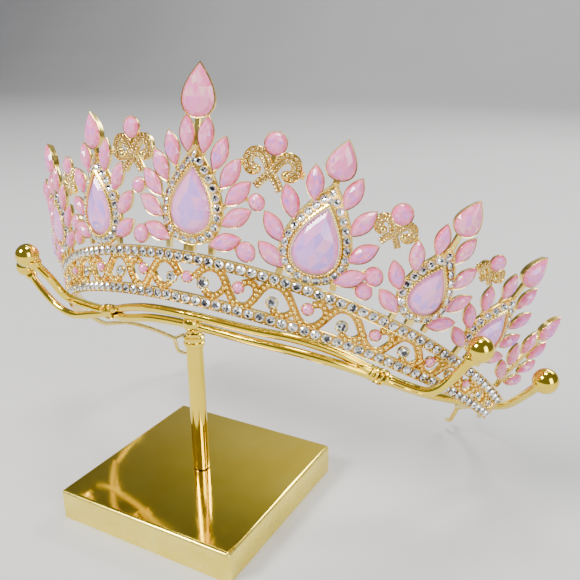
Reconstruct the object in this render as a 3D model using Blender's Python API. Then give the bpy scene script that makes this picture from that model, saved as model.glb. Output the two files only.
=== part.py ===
import math

import bmesh
import bpy
from mathutils import Matrix, Vector

# Tiara of pink stones in gilt metal, resting on the cradle of a plain gold display stand.
# All sizes are in metres, +Z is up, and the stand's plate lies flat on Z = 0.

MM = 0.001

# Stand plate and post
PLATE_SIDE = 65.0 * MM
PLATE_HEIGHT = 10.0 * MM
PLATE_EDGE = 1.2 * MM
POST_RADIUS = 2.75 * MM
POST_TOP = 59.4 * MM
COLLAR_RADIUS = 3.4 * MM
COLLAR_LOW = 55.0 * MM
COLLAR_HIGH = 58.4 * MM
GAP = 0.3 * MM

# How the tiara sits on the stand: origin at the front middle of its lower row of stones
TIARA_SEAT = Vector((11.0 * MM, -16.7 * MM, 78.2 * MM))
TIARA_TURN = math.radians(4.1)
TIARA_SIDE_TILT = math.radians(3.1)
TIARA_LEAN_BACK = math.radians(-39.2)

# The band is a strip of a cone: arc radius at the lower row and the outward slope of its wall
ARC_RADIUS = 81.8 * MM
CONE_SLOPE = math.radians(31.2)
BAND_END = math.radians(77.5)
BAND_HEIGHT = 11.6 * MM
BAND_TAPER = 0.302
RAIL_HALF_WIDTH = 1.6 * MM
RAIL_HALF_THICKNESS = 0.8 * MM
RAIL_STEPS = 36

# Frieze between the two rows
VINE_RADIUS = 0.62 * MM
VINE_SIDES = 4
VINE_STEPS_PER_WAVE = 5
FRIEZE_STONE_RADIUS = 1.6 * MM

# Tails at the ends of the band, with their hooks
TAIL_RADIUS = 0.9 * MM

# Cradle rods and balls
ROD_RADIUS = 1.4 * MM
ROD_SIDES = 8
BALL_RADIUS = 3.7 * MM
PEAR_POINTS = 14


def clear_scene():
    for obj in list(bpy.data.objects):
        bpy.data.objects.remove(obj, do_unlink=True)


def new_material(name, colour, metallic, roughness):
    mat = bpy.data.materials.new(name)
    mat.use_nodes = True
    shader = mat.node_tree.nodes["Principled BSDF"]
    shader.inputs["Base Color"].default_value = (*colour, 1.0)
    shader.inputs["Metallic"].default_value = metallic
    shader.inputs["Roughness"].default_value = roughness
    return mat


# Places on the tiara's cone. The tiara's own axes: X to its left-hand wearer side in the
# picture's right, Y to the back, Z up along the wearer's head.

def cone_axes(phi):
    across = Vector((math.cos(phi), math.sin(phi), 0.0))
    radial = Vector((math.sin(phi), -math.cos(phi), 0.0))
    up = Vector((0.0, 0.0, 1.0))
    slant = radial * math.sin(CONE_SLOPE) + up * math.cos(CONE_SLOPE)
    outward = radial * math.cos(CONE_SLOPE) - up * math.sin(CONE_SLOPE)
    return across, slant, outward


def cone_point(phi, rise, out):
    across, slant, outward = cone_axes(phi)
    radial = Vector((math.sin(phi), -math.cos(phi), 0.0))
    centre = Vector((0.0, ARC_RADIUS, 0.0))
    return centre + radial * ARC_RADIUS + slant * rise + outward * out


def cone_matrix(phi, rise):
    across, slant, outward = cone_axes(phi)
    spot = cone_point(phi, rise, 0.0)
    return Matrix((
        (across.x, slant.x, outward.x, spot.x),
        (across.y, slant.y, outward.y, spot.y),
        (across.z, slant.z, outward.z, spot.z),
        (0.0, 0.0, 0.0, 1.0),
    ))


def wrapped(phi, point):
    # A flat pattern point (sideways, rise, out) bent round the cone, centred on phi
    turn = phi + point.x / (ARC_RADIUS + point.y * math.sin(CONE_SLOPE))
    return cone_point(turn, point.y, point.z)


def tiara_matrix():
    turn = Matrix.Rotation(TIARA_TURN, 4, "Z")
    side = Matrix.Rotation(TIARA_SIDE_TILT, 4, "Y")
    lean = Matrix.Rotation(TIARA_LEAN_BACK, 4, "X")
    return Matrix.Translation(TIARA_SEAT) @ turn @ side @ lean


def band_height(phi):
    return BAND_HEIGHT * (1.0 - BAND_TAPER * phi * phi)


# Outlines in the flat

def pear_outline(width, height, count):
    # Point at the top, round at the bottom, centred on its height
    points = []
    for k in range(count):
        t = 2.0 * math.pi * k / count
        x = math.sin(t) * math.sin(t / 2.0) / 0.7698 * width / 2.0
        y = math.cos(t) * height / 2.0
        points.append(Vector((-x, y, 0.0)))
    return points


def leaf_outline(width, height):
    points = []
    for k in range(8):
        t = 2.0 * math.pi * k / 8
        x = math.sin(t) * abs(math.sin(t)) * width / 2.0
        points.append(Vector((-x, math.cos(t) * height / 2.0, 0.0)))
    return points


def round_outline(width, count):
    points = []
    for k in range(count):
        t = 2.0 * math.pi * k / count
        points.append(Vector((-math.sin(t) * width / 2.0, math.cos(t) * width / 2.0, 0.0)))
    return points


def ring_of(outline, scale, out):
    return [Vector((p.x * scale, p.y * scale, out)) for p in outline]


def turned(points, angle, shift_x, shift_y):
    c = math.cos(angle)
    s = math.sin(angle)
    return [Vector((p.x * c + p.y * s + shift_x, -p.x * s + p.y * c + shift_y, p.z)) for p in points]


# Closed shells

def loft(rings):
    # Rings run from back to front, each anticlockwise seen from the front
    bm = bmesh.new()
    loops = [[bm.verts.new(p) for p in ring] for ring in rings]
    count = len(rings[0])
    for low, high in zip(loops, loops[1:]):
        for k in range(count):
            n = (k + 1) % count
            bm.faces.new((low[k], low[n], high[n], high[k]))
    bm.faces.new(list(reversed(loops[0])))
    bm.faces.new(loops[-1])
    return bm


def hoop(sections):
    # Sections are the same small polygon carried round a closed path
    bm = bmesh.new()
    loops = [[bm.verts.new(p) for p in section] for section in sections]
    count = len(sections[0])
    for i, here in enumerate(loops):
        there = loops[(i + 1) % len(loops)]
        for k in range(count):
            n = (k + 1) % count
            bm.faces.new((here[k], here[n], there[n], there[k]))
    return bm


def tube(path, radius, sides):
    # Round rod along a path, with the ring carried along without twist
    rings = []
    normal = None
    for i, spot in enumerate(path):
        before = path[max(i - 1, 0)]
        after = path[min(i + 1, len(path) - 1)]
        along = (after - before).normalized()
        if normal is None:
            seed = Vector((0.0, 0.0, 1.0)) if abs(along.z) < 0.9 else Vector((1.0, 0.0, 0.0))
            normal = seed.cross(along).normalized()
        normal = (normal - along * normal.dot(along)).normalized()
        side = along.cross(normal)
        size = radius[i] if isinstance(radius, list) else radius
        ring = []
        for k in range(sides):
            t = 2.0 * math.pi * k / sides
            ring.append(spot + normal * math.cos(t) * size + side * math.sin(t) * size)
        rings.append(ring)
    return loft(rings)


def ball(centre, radius, around, levels):
    bm = bmesh.new()
    bmesh.ops.create_uvsphere(bm, u_segments=around, v_segments=levels, radius=radius)
    bmesh.ops.translate(bm, verts=bm.verts, vec=centre)
    return bm


def gem(outline, back, girdle, front, back_scale, table_scale):
    # A cut stone: back, girdle with a thin edge, crown facets and a flat table
    edge = 0.25 * MM
    return loft([
        ring_of(outline, back_scale, back),
        ring_of(outline, 1.0, girdle - edge),
        ring_of(outline, 1.0, girdle),
        ring_of(outline, table_scale, front),
    ])


def set_stone(outline, angle, x, y, back, girdle, front):
    # A stone fused to its own tray: straight tray wall, then the crown and the table
    rings = [
        ring_of(outline, 0.9, back),
        ring_of(outline, 1.0, girdle),
        ring_of(outline, 0.52, front),
    ]
    return loft([turned(ring, angle, x, y) for ring in rings])


def leaf_setting(outline, angle, x, y, foot, back, girdle, front):
    # A leaf stone in its tray, whose back runs on to a foot inside the metal that carries it
    rings = [
        turned(ring_of(outline, 0.9, back), angle, x, y),
        turned(ring_of(outline, 1.0, girdle), angle, x, y),
        turned(ring_of(outline, 0.52, front), angle, x, y),
    ]
    nearest = min(range(len(outline)), key=lambda k: (rings[0][k] - foot).length)
    rings[0][nearest] = Vector((foot.x, foot.y, back))
    return loft(rings)


def moved(bm, change):
    for v in bm.verts:
        v.co = change(v.co)
    return bm


def smooth_path(points, per_span):
    # Rounded path through a few points
    path = []
    last = len(points) - 1
    for i in range(last):
        p0 = points[max(i - 1, 0)]
        p1 = points[i]
        p2 = points[i + 1]
        p3 = points[min(i + 2, last)]
        for k in range(per_span):
            t = k / per_span
            a = (p1 * 2.0)
            b = (p2 - p0) * t
            c = (p0 * 2.0 - p1 * 5.0 + p2 * 4.0 - p3) * t * t
            d = (p1 * 3.0 - p0 - p2 * 3.0 + p3) * t * t * t
            path.append((a + b + c + d) * 0.5)
    path.append(points[last].copy())
    return path


# Objects

def object_from(name, bm, mat, matrix):
    bmesh.ops.recalc_face_normals(bm, faces=bm.faces)
    mesh = bpy.data.meshes.new(name)
    bm.to_mesh(mesh)
    bm.free()
    mesh.materials.append(mat)
    obj = bpy.data.objects.new(name, mesh)
    bpy.context.scene.collection.objects.link(obj)
    obj.matrix_world = matrix
    return obj


def joined(shells):
    out = bmesh.new()
    for bm in shells:
        bmesh.ops.recalc_face_normals(bm, faces=bm.faces)
        part = bpy.data.meshes.new("shell")
        bm.to_mesh(part)
        bm.free()
        out.from_mesh(part)
        bpy.data.meshes.remove(part)
    return out


def fused(name, shells, mat, matrix):
    # The first shell with all the others melted into it, as one closed body
    body = object_from(name, shells[0], mat, Matrix.Identity(4))
    added = object_from(name + "_added", joined(shells[1:]), mat, Matrix.Identity(4))
    union = body.modifiers.new("Melt", "BOOLEAN")
    union.operation = "UNION"
    union.solver = "EXACT"
    union.use_self = True
    union.object = added
    graph = bpy.context.evaluated_depsgraph_get()
    mesh = bpy.data.meshes.new_from_object(body.evaluated_get(graph))
    body.modifiers.clear()
    body.data = mesh
    bpy.data.objects.remove(added, do_unlink=True)
    bm = bmesh.new()
    bm.from_mesh(mesh)
    bmesh.ops.remove_doubles(bm, verts=bm.verts, dist=0.002 * MM)
    # Points that only split a straight seam between two faces are taken out
    idle = [v for v in bm.verts if len(v.link_edges) == 2]
    bmesh.ops.dissolve_verts(bm, verts=idle)
    bmesh.ops.triangulate(bm, faces=bm.faces)
    bm.to_mesh(mesh)
    bm.free()
    mesh.name = name
    mesh.materials.clear()
    mesh.materials.append(mat)
    body.matrix_world = matrix
    return body


# Stand

def build_base(mat):
    bm = bmesh.new()
    bmesh.ops.create_cube(bm, size=1.0)
    bmesh.ops.scale(bm, verts=bm.verts, vec=(PLATE_SIDE, PLATE_SIDE, PLATE_HEIGHT))
    bmesh.ops.translate(bm, verts=bm.verts, vec=(0.0, 0.0, PLATE_HEIGHT / 2.0))
    edges = [e for e in bm.edges if max(v.co.z for v in e.verts) > PLATE_HEIGHT * 0.4]
    bmesh.ops.bevel(bm, geom=edges, offset=PLATE_EDGE, offset_type="OFFSET", segments=3,
                    profile=0.5, affect="EDGES", material=-1, clamp_overlap=True)
    return object_from("stand_base", bm, mat, Matrix.Identity(4))


def build_post(mat):
    profile = [
        (POST_RADIUS, PLATE_HEIGHT + GAP),
        (POST_RADIUS, COLLAR_LOW),
        (COLLAR_RADIUS, COLLAR_LOW + 0.4 * MM),
        (COLLAR_RADIUS, COLLAR_HIGH),
        (POST_RADIUS * 0.95, COLLAR_HIGH + 0.4 * MM),
        (POST_RADIUS * 0.95, POST_TOP),
    ]
    rings = []
    for radius, z in profile:
        ring = []
        for k in range(16):
            t = 2.0 * math.pi * k / 16
            ring.append(Vector((math.cos(t) * radius, math.sin(t) * radius, z)))
        rings.append(ring)
    return object_from("stand_post", loft(rings), mat, Matrix.Identity(4))


# Cradle rods in the tiara's axes: millimetres to the right, to the back and up
LEFT_FRONT_ARM = [
    (-50.0, 35.5, -1.2), (-53.0, 27.0, -2.9), (-54.6, 18.0, -3.6), (-57.6, 11.5, -0.6), (-58.8, -1.0, 2.2),
]
UPPER_RAIL = [
    (-50.0, 35.5, -1.2), (-37.0, 28.0, -0.4), (-23.3, 20.6, -0.4), (-8.0, 18.0, -0.5), (12.5, 19.6, -0.4),
    (27.5, 21.0, 0.2), (40.3, 27.0, 0.0), (51.5, 35.0, -1.5),
]
RIGHT_FRONT_ARM = [
    (51.5, 35.0, -1.5), (60.0, 33.5, -3.2), (67.0, 30.5, -3.7), (72.0, 27.5, 0.4), (75.3, 23.5, 4.0),
    (78.9, 18.4, 8.0),
]
LEFT_BACK_ARM = [
    (-51.0, 38.0, -2.2), (-60.0, 42.0, -2.8), (-71.5, 46.5, -3.9), (-81.0, 47.0, -2.0), (-90.0, 44.0, 3.0),
    (-95.7, 39.0, 8.5),
]
LOWER_RAIL = [
    (-51.0, 38.0, -2.2), (-38.0, 31.0, -3.3), (-24.3, 25.0, -2.6), (-8.4, 22.4, -2.5), (12.5, 21.8, -3.2),
    (28.4, 22.6, -3.2), (42.0, 28.0, -2.9), (52.5, 37.5, -2.4),
]
RIGHT_BACK_ARM = [
    (52.5, 37.5, -2.4), (61.5, 51.0, -0.8), (70.0, 65.0, 2.2), (76.5, 71.5, 4.0), (82.0, 70.0, 4.6),
    (87.0, 61.5, 5.2), (95.7, 39.0, 8.5),
]


def spots(rows):
    return [Vector(row) * MM for row in rows]


def build_cradle(mat):
    upper = spots(LEFT_FRONT_ARM)[::-1] + spots(UPPER_RAIL)[1:] + spots(RIGHT_FRONT_ARM)[1:]
    lower = spots(LEFT_BACK_ARM)[::-1] + spots(LOWER_RAIL)[1:] + spots(RIGHT_BACK_ARM)[1:]
    shells = [tube(smooth_path(upper, 2), ROD_RADIUS, ROD_SIDES)]
    shells.append(tube(smooth_path(lower, 2), ROD_RADIUS, ROD_SIDES))
    for end in (upper[0], upper[-1], lower[0], lower[-1]):
        shells.append(ball(end, BALL_RADIUS, 10, 6))
    # Bound joints where the two rods meet, and the cast head over the post
    for near, far in ((Vector((-50.4, 36.7, -1.7)), Vector((-42.0, 31.5, -1.8))),
                      (Vector((52.0, 36.2, -2.0)), Vector((44.0, 29.5, -1.5)))):
        path = [near * MM, (near * 0.6 + far * 0.4) * MM, far * MM]
        shells.append(tube(path, [2.9 * MM, 2.9 * MM, 2.1 * MM], 10))
    placing = tiara_matrix()
    inverse = placing.inverted()
    neck = [Vector((0.0, 0.0, POST_TOP + GAP)), Vector((0.0, 0.0, POST_TOP + 1.6 * MM)),
            Vector((0.8 * MM, -1.4 * MM, POST_TOP + 4.2 * MM))]
    shells.append(tube([inverse @ p for p in neck], [2.3 * MM, 2.4 * MM, 2.6 * MM], 12))
    shells.append(ball(inverse @ Vector((1.2 * MM, -2.2 * MM, POST_TOP + 4.1 * MM)), 2.9 * MM, 10, 6))
    return fused("stand_cradle", shells, mat, placing)


# Band

def rail(level):
    # A flat bar along the band that carries a row of small stones
    sections = []
    for i in range(RAIL_STEPS + 1):
        phi = -BAND_END + 2.0 * BAND_END * i / RAIL_STEPS
        middle = 0.0 if level == "lower" else band_height(phi)
        ring = []
        for side, out in ((-1.0, -1.0), (1.0, -1.0), (1.0, 1.0), (-1.0, 1.0)):
            ring.append(cone_point(phi, middle + side * RAIL_HALF_WIDTH, out * RAIL_HALF_THICKNESS))
        sections.append(ring)
    return loft(sections)


# Frieze stones: degrees from the middle, height as a share of the band, and tint
FRIEZE_STONES = [
    (0.0, 0.53, "pink"), (3.4, 0.46, "clear"), (10.5, 0.56, "pink"), (17.2, 0.43, "clear"),
    (23.8, 0.55, "pink"), (30.8, 0.43, "clear"), (37.3, 0.55, "pink"), (44.0, 0.44, "clear"),
    (50.4, 0.54, "pink"), (56.4, 0.45, "clear"), (61.8, 0.53, "pink"), (67.6, 0.47, "clear"),
    (73.4, 0.50, "clear"),
]
WAVE_STARTS = [0.0, 10.5, 23.8, 37.3, 50.4, 61.8, 73.4]


def vine_level(phi):
    # Low under each pink stone and high over the clear stone between two of them
    turn = abs(math.degrees(phi))
    for low, high in zip(WAVE_STARTS, WAVE_STARTS[1:]):
        if turn <= high:
            share = (turn - low) / (high - low)
            return 0.5 - 0.38 * math.cos(2.0 * math.pi * share)
    return 0.12


def build_vine():
    steps = VINE_STEPS_PER_WAVE * (len(WAVE_STARTS) - 1)
    path = []
    for i in range(-steps, steps + 1):
        wave = abs(i) / VINE_STEPS_PER_WAVE
        low = min(int(wave), len(WAVE_STARTS) - 2)
        turn = WAVE_STARTS[low] + (WAVE_STARTS[low + 1] - WAVE_STARTS[low]) * (wave - low)
        phi = math.radians(turn) * (1.0 if i >= 0 else -1.0)
        path.append(cone_point(phi, band_height(phi) * vine_level(phi), 0.0))
    return tube(path, VINE_RADIUS, VINE_SIDES)


def bar_between(phi, low, high, half_width, back, front):
    rings = []
    for rise in (low, high):
        ring = []
        for x, out in ((-half_width, back), (half_width, back), (half_width, front), (-half_width, front)):
            ring.append(wrapped(phi, Vector((x, rise, out))))
        rings.append(ring)
    return loft(rings)


def build_tail(side):
    # Wire that runs on inwards from the end of the band and ends in two hooks
    points = [(77.0, 0.4, -1.0), (83.1, 0.3, -4.4), (88.3, 2.8, -5.2), (94.0, 5.6, -6.7), (103.3, 7.5, -9.4),
              (113.7, 7.9, -11.6)]
    path = []
    for turn, rise, inward in points:
        phi = math.radians(turn) * side
        radial = Vector((math.sin(phi), -math.cos(phi), 0.0))
        centre = Vector((0.0, ARC_RADIUS, 0.0))
        path.append(centre + radial * (ARC_RADIUS + inward * MM) + Vector((0.0, 0.0, rise * MM)))
    wire = tube(smooth_path(path, 3), TAIL_RADIUS, 6)
    end = path[-1]
    along = (path[-1] - path[-2]).normalized()
    up = Vector((0.0, 0.0, 1.0))
    hook_up = [end - along * MM, end + along * 2.4 * MM + up * 2.6 * MM, end + along * 5.4 * MM + up * 4.2 * MM]
    hook_down = [end - along * MM, end + along * 1.4 * MM - up * 3.0 * MM,
                 end + along * 3.4 * MM - up * 4.7 * MM, end + along * 7.2 * MM - up * 4.4 * MM]
    return [wire, tube(hook_up, TAIL_RADIUS * 0.95, 6), tube(hook_down, TAIL_RADIUS * 0.95, 6)]


def build_band(mat, placing):
    shells = [rail("lower"), rail("upper"), build_vine()]
    for turn, share, tint in FRIEZE_STONES:
        for side in (1.0, -1.0):
            if turn == 0.0 and side < 0.0:
                continue
            phi = math.radians(turn) * side
            height = band_height(phi)
            size = FRIEZE_STONE_RADIUS * (1.0 if turn < 60.0 else 0.8)
            outline = round_outline(2.0 * size, 8)
            foot = Vector((0.0, 0.2 * MM if tint == "pink" else height - 0.2 * MM, 0.0))
            stone = leaf_setting(outline, 0.0, 0.0, height * share, foot, -0.5 * MM, 0.3 * MM, 1.2 * MM)
            shells.append(moved(stone, lambda p, a=phi: wrapped(a, p)))
    # End plates that close the openwork, where the two rows come together
    for side in (1.0, -1.0):
        phi = math.radians(76.6) * side
        shells.append(bar_between(phi, 0.0, band_height(phi), 1.0 * MM, -0.7 * MM, 0.6 * MM))
        shells.extend(build_tail(side))
    return fused("tiara_band", shells, mat, placing)


# Drops. Leaf stones are listed as sideways, rise and outward tilt in degrees.
CENTRE_LEAVES = [
    (2.9, 45.2, 6.0), (7.4, 40.9, 18.0), (10.9, 36.2, 30.0), (13.4, 31.4, 42.0), (13.5, 25.0, 55.0),
    (10.8, 17.9, 68.0),
]
FIRST_LEAVES = [(5.1, 39.0, 14.0), (9.9, 32.7, 30.0), (12.3, 25.2, 45.0), (11.0, 17.8, 58.0)]
SECOND_LEAVES = [(3.7, 36.6, 12.0), (7.8, 30.0, 24.0), (10.2, 23.2, 38.0), (8.6, 15.9, 60.0)]
THIRD_LEAVES = [(4.1, 34.2, 12.0), (8.0, 28.2, 26.0), (9.6, 21.6, 38.0), (8.2, 14.9, 60.0)]
END_LEAVES = [(3.4, 24.8, 14.0), (5.6, 19.2, 32.0), (5.0, 13.4, 50.0)]

# Each drop: place in degrees, stone width and height, stone middle, halo width and height,
# halo middle, finial width, height and middle, in millimetres
DROPS = {
    "centre": (0.0, 12.4, 18.0, 27.6, 18.2, 26.0, 28.8, 10.2, 14.2, 56.4),
    "first": (21.9, 12.4, 17.8, 24.8, 18.4, 26.6, 26.4, 7.9, 10.6, 46.5),
    "second": (42.0, 9.8, 14.0, 22.8, 14.8, 21.8, 24.4, 7.7, 10.4, 44.8),
    "third": (57.6, 8.8, 12.8, 21.2, 13.2, 20.0, 22.4, 7.0, 9.8, 41.8),
}
LEAVES = {
    "centre": CENTRE_LEAVES,
    "first": FIRST_LEAVES,
    "second": SECOND_LEAVES,
    "third": THIRD_LEAVES,
}
LEAF_WIDTH = 4.9 * MM
LEAF_LENGTH = 10.2 * MM
# Round stones soldered to the centre drop: sideways, rise and width
CENTRE_ROUNDS = [(18.8, 30.3, 4.6), (16.9, 16.6, 5.6)]
FIRST_ROUND = (16.9, 20.6, 5.0)


def halo_ring(width, height, middle, hole_width, hole_height, hole_middle):
    # Pear ring that holds the large stone: sloped front that carries small stones
    outer = pear_outline(width, height, PEAR_POINTS)
    inner = pear_outline(hole_width, hole_height, PEAR_POINTS)
    sections = []
    for a, b in zip(outer, inner):
        big = Vector((a.x, a.y + middle, 0.0))
        small = Vector((b.x, b.y + hole_middle, 0.0))
        section = []
        for share, out in ((0.0, -0.7), (0.0, 0.3), (0.8, 1.7), (1.0, 1.5), (1.0, -0.7)):
            spot = big.lerp(small, share)
            section.append(Vector((spot.x, spot.y, out * MM)))
        sections.append(section)
    return hoop(sections)


def ring_middle(sizes):
    # Points along the middle of a drop's ring, where struts end
    turn, stone_w, stone_h, stone_y, halo_w, halo_h, halo_y = sizes[:7]
    outer = pear_outline(halo_w * MM, halo_h * MM, 56)
    inner = pear_outline((stone_w + 0.7) * MM, (stone_h + 0.9) * MM, 56)
    points = []
    for a, b in zip(outer, inner):
        big = Vector((a.x, a.y + halo_y * MM, 0.0))
        small = Vector((b.x, b.y + stone_y * MM, 0.0))
        points.append(big.lerp(small, 0.45))
    return points


def strut_foot(spot, lean, half_length, middle_line):
    # Runs on from a leaf's inner tip, along its own axis, until it is in the ring's metal
    axis = Vector((math.sin(lean), math.cos(lean), 0.0))
    best = None
    for step in range(17):
        trial = spot - axis * (half_length + step * 0.5 * MM)
        nearest = min(middle_line, key=lambda p: (p - trial).length)
        miss = (nearest - trial).length
        if best is None or miss < best[0]:
            best = (miss, trial, nearest)
    miss, trial, nearest = best
    return trial if miss < 0.8 * MM else trial.lerp(nearest, 0.7)


def side_name(side):
    return {1.0: "_right", -1.0: "_left", 0.0: ""}[side]


def strap(low, high, half):
    # Flat upright strap on the middle line of a drop, between two heights
    rings = []
    for y in (low, high):
        corners = ((-half, -0.5), (half, -0.5), (half, 0.4), (-half, 0.4))
        rings.append([Vector((x * MM, y * MM, out * MM)) for x, out in corners])
    return loft(rings)


def build_drop(kind, side, mat, placing):
    turn, stone_w, stone_h, stone_y, halo_w, halo_h, halo_y, tip_w, tip_h, tip_y = DROPS[kind]
    phi = math.radians(turn) * side
    shells = [halo_ring(halo_w * MM, halo_h * MM, halo_y * MM, (stone_w + 0.7) * MM,
                        (stone_h + 0.9) * MM, (stone_y + 0.1) * MM)]
    small = {"centre": 1.0, "first": 0.97, "second": 0.9, "third": 0.82}[kind]
    leaf = leaf_outline(LEAF_WIDTH * small, LEAF_LENGTH * small)
    middle_line = ring_middle(DROPS[kind])
    for place, (x, y, tilt) in enumerate(LEAVES[kind]):
        for hand in (1.0, -1.0):
            spot = Vector((x * hand * MM, y * MM, 0.0))
            lean = math.radians(tilt) * hand
            foot = strut_foot(spot, lean, LEAF_LENGTH * small / 2.0, middle_line)
            lift = (0.04 * place + 0.02 * hand) * MM
            shells.append(leaf_setting(leaf, lean, spot.x, spot.y, foot,
                                       lift - 0.6 * MM, lift + 0.5 * MM, lift + 1.9 * MM))
    # Finial stone on its stalk, and the tab that stands on the band's upper row
    finial = pear_outline(tip_w * MM, tip_h * MM, 10)
    shells.append(set_stone(finial, 0.0, 0.0, tip_y * MM, -1.1 * MM, 0.9 * MM, 2.5 * MM))
    shells.append(strap(halo_y + halo_h / 2.0 - 2.2, tip_y - tip_h / 2.0 + 1.6, 0.9))
    band_top = (band_height(phi) + RAIL_HALF_WIDTH + 1.3 * GAP) / MM
    if halo_y - halo_h / 2.0 - band_top > 0.3:
        shells.append(strap(band_top, halo_y - halo_h / 2.0 + 1.6, 1.3))
    rounds = []
    if kind == "centre":
        rounds = [(x * hand, y, width) for x, y, width in CENTRE_ROUNDS for hand in (1.0, -1.0)]
    if kind == "first":
        x, y, width = FIRST_ROUND
        rounds = [(x * side, y, width)]
    for x, y, width in rounds:
        shells.append(set_stone(round_outline(width * MM, 10), 0.0, x * MM, y * MM,
                                -0.7 * MM, 0.6 * MM, 1.7 * MM))
        inward = 4.6 if x < 0.0 else -4.6
        shells.append(flat_link(Vector((x + inward, y + 0.8, 0.0)), Vector((x, y, 0.0)), 0.7))
    return fused_on_cone("drop_setting_" + kind + side_name(side), shells, mat, placing, phi)


def flat_link(start, end, half):
    across = (end - start).normalized()
    wide = Vector((-across.y, across.x, 0.0)) * half
    corners = [start - wide, start + wide, end + wide, end - wide]
    flat = [Vector((c.x * MM, c.y * MM, -0.45 * MM)) for c in corners]
    top = [Vector((c.x * MM, c.y * MM, 0.35 * MM)) for c in corners]
    return loft([flat, top])


def fused_on_cone(name, shells, mat, placing, phi):
    bent = [moved(bm, lambda p: wrapped(phi, p)) for bm in shells]
    return fused(name, bent, mat, placing)


def build_drop_stone(kind, side, mat, placing):
    turn, stone_w, stone_h, stone_y = DROPS[kind][:4]
    phi = math.radians(turn) * side
    name = "drop_stone_" + kind + side_name(side)
    bm = gem(pear_outline(stone_w * MM, stone_h * MM, PEAR_POINTS), -2.0 * MM, 1.0 * MM, 3.0 * MM, 0.3, 0.6)
    return object_from(name, bm, mat, placing @ cone_matrix(phi, stone_y * MM))


# Scroll motifs between the drops: place, height of the top stone, its width and the size
SCROLLS = {
    "first": (12.3, 46.2, 6.2, 0.98),
    "second": (32.5, 38.6, 6.0, 0.72),
    "third": (50.3, 38.0, 4.9, 0.52),
}


# One scroll arm: from its foot across the middle, up beside the stone, over and curled in
SCROLL_ARM = [
    (-3.0, -11.4), (-1.7, -9.6), (0.2, -7.6), (1.6, -5.0), (3.6, -3.1), (5.8, -3.5), (6.6, -5.6), (5.7, -7.5),
    (4.0, -7.7),
]


def ribbon(path, half_width, back, front):
    # Flat strip that follows a path in the pattern's plane
    rings = []
    for i, spot in enumerate(path):
        before = path[max(i - 1, 0)]
        after = path[min(i + 1, len(path) - 1)]
        along = (after - before).normalized()
        across = Vector((-along.y, along.x, 0.0)) * half_width
        low = Vector((0.0, 0.0, back))
        high = Vector((0.0, 0.0, front))
        rings.append([spot - across + low, spot + across + low, spot + across + high, spot - across + high])
    return loft(rings)


def build_scroll(kind, side, mat, placing):
    # A round stone over two crossed arms that curl outwards and stand on two feet
    turn, rise, width, size = SCROLLS[kind]
    phi = math.radians(turn) * side
    crossing = Vector((0.0, (rise - 7.4 * size) * MM, 0.0))
    shells = [leaf_setting(round_outline(width * MM, 10), 0.0, 0.0, rise * MM, crossing,
                           -0.35 * MM, 0.6 * MM, 1.8 * MM)]
    arm_half = (0.35 + 0.6 * size) * MM
    for hand in (1.0, -1.0):
        lift = 0.04 * hand * MM
        path = [Vector((x * hand * size * MM, (rise + y * size) * MM, lift)) for x, y in SCROLL_ARM]
        shells.append(ribbon(path, arm_half, -0.5 * MM, 0.7 * MM))
    return fused_on_cone("scroll_" + kind + side_name(side), shells, mat, placing, phi)


def build_end_fan(side, mat, placing):
    # Small spray of leaf stones at each end of the band
    phi = math.radians(71.0) * side
    leaf = leaf_outline(LEAF_WIDTH * 0.8, LEAF_LENGTH * 0.8)
    low = (band_height(phi) + RAIL_HALF_WIDTH + 1.3 * GAP) / MM
    shells = [strap(low, 30.0, 1.1)]
    shells.append(set_stone(pear_outline(6.4 * MM, 9.0 * MM, 10), 0.0, 0.0, 32.4 * MM,
                            -1.0 * MM, 0.8 * MM, 2.2 * MM))
    for place, (x, y, tilt) in enumerate(END_LEAVES):
        for hand in (1.0, -1.0):
            foot = Vector((-0.3 * hand * MM, (y - 2.5) * MM, 0.0))
            lift = (0.04 * place + 0.02 * hand) * MM
            shells.append(leaf_setting(leaf, math.radians(tilt) * hand, x * hand * MM, y * MM, foot,
                                       lift - 0.4 * MM, lift + 0.5 * MM, lift + 1.7 * MM))
    return fused_on_cone("end_fan" + side_name(side), shells, mat, placing, phi)


def main():
    clear_scene()
    gold = new_material("polished gold", (0.83, 0.62, 0.22), 1.0, 0.18)
    pink = new_material("pink opal glass", (0.92, 0.62, 0.74), 0.0, 0.08)
    placing = tiara_matrix()
    build_base(gold)
    build_post(gold)
    build_cradle(gold)
    build_band(gold, placing)
    for kind in DROPS:
        for side in ((0.0,) if kind == "centre" else (1.0, -1.0)):
            build_drop(kind, side, gold, placing)
            build_drop_stone(kind, side, pink, placing)
    for kind in SCROLLS:
        for side in (1.0, -1.0):
            build_scroll(kind, side, gold, placing)
    for side in (1.0, -1.0):
        build_end_fan(side, gold, placing)


main()
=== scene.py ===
import math
from collections import namedtuple

import bmesh
import bpy
import numpy as np
from mathutils import Matrix, Vector


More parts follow.
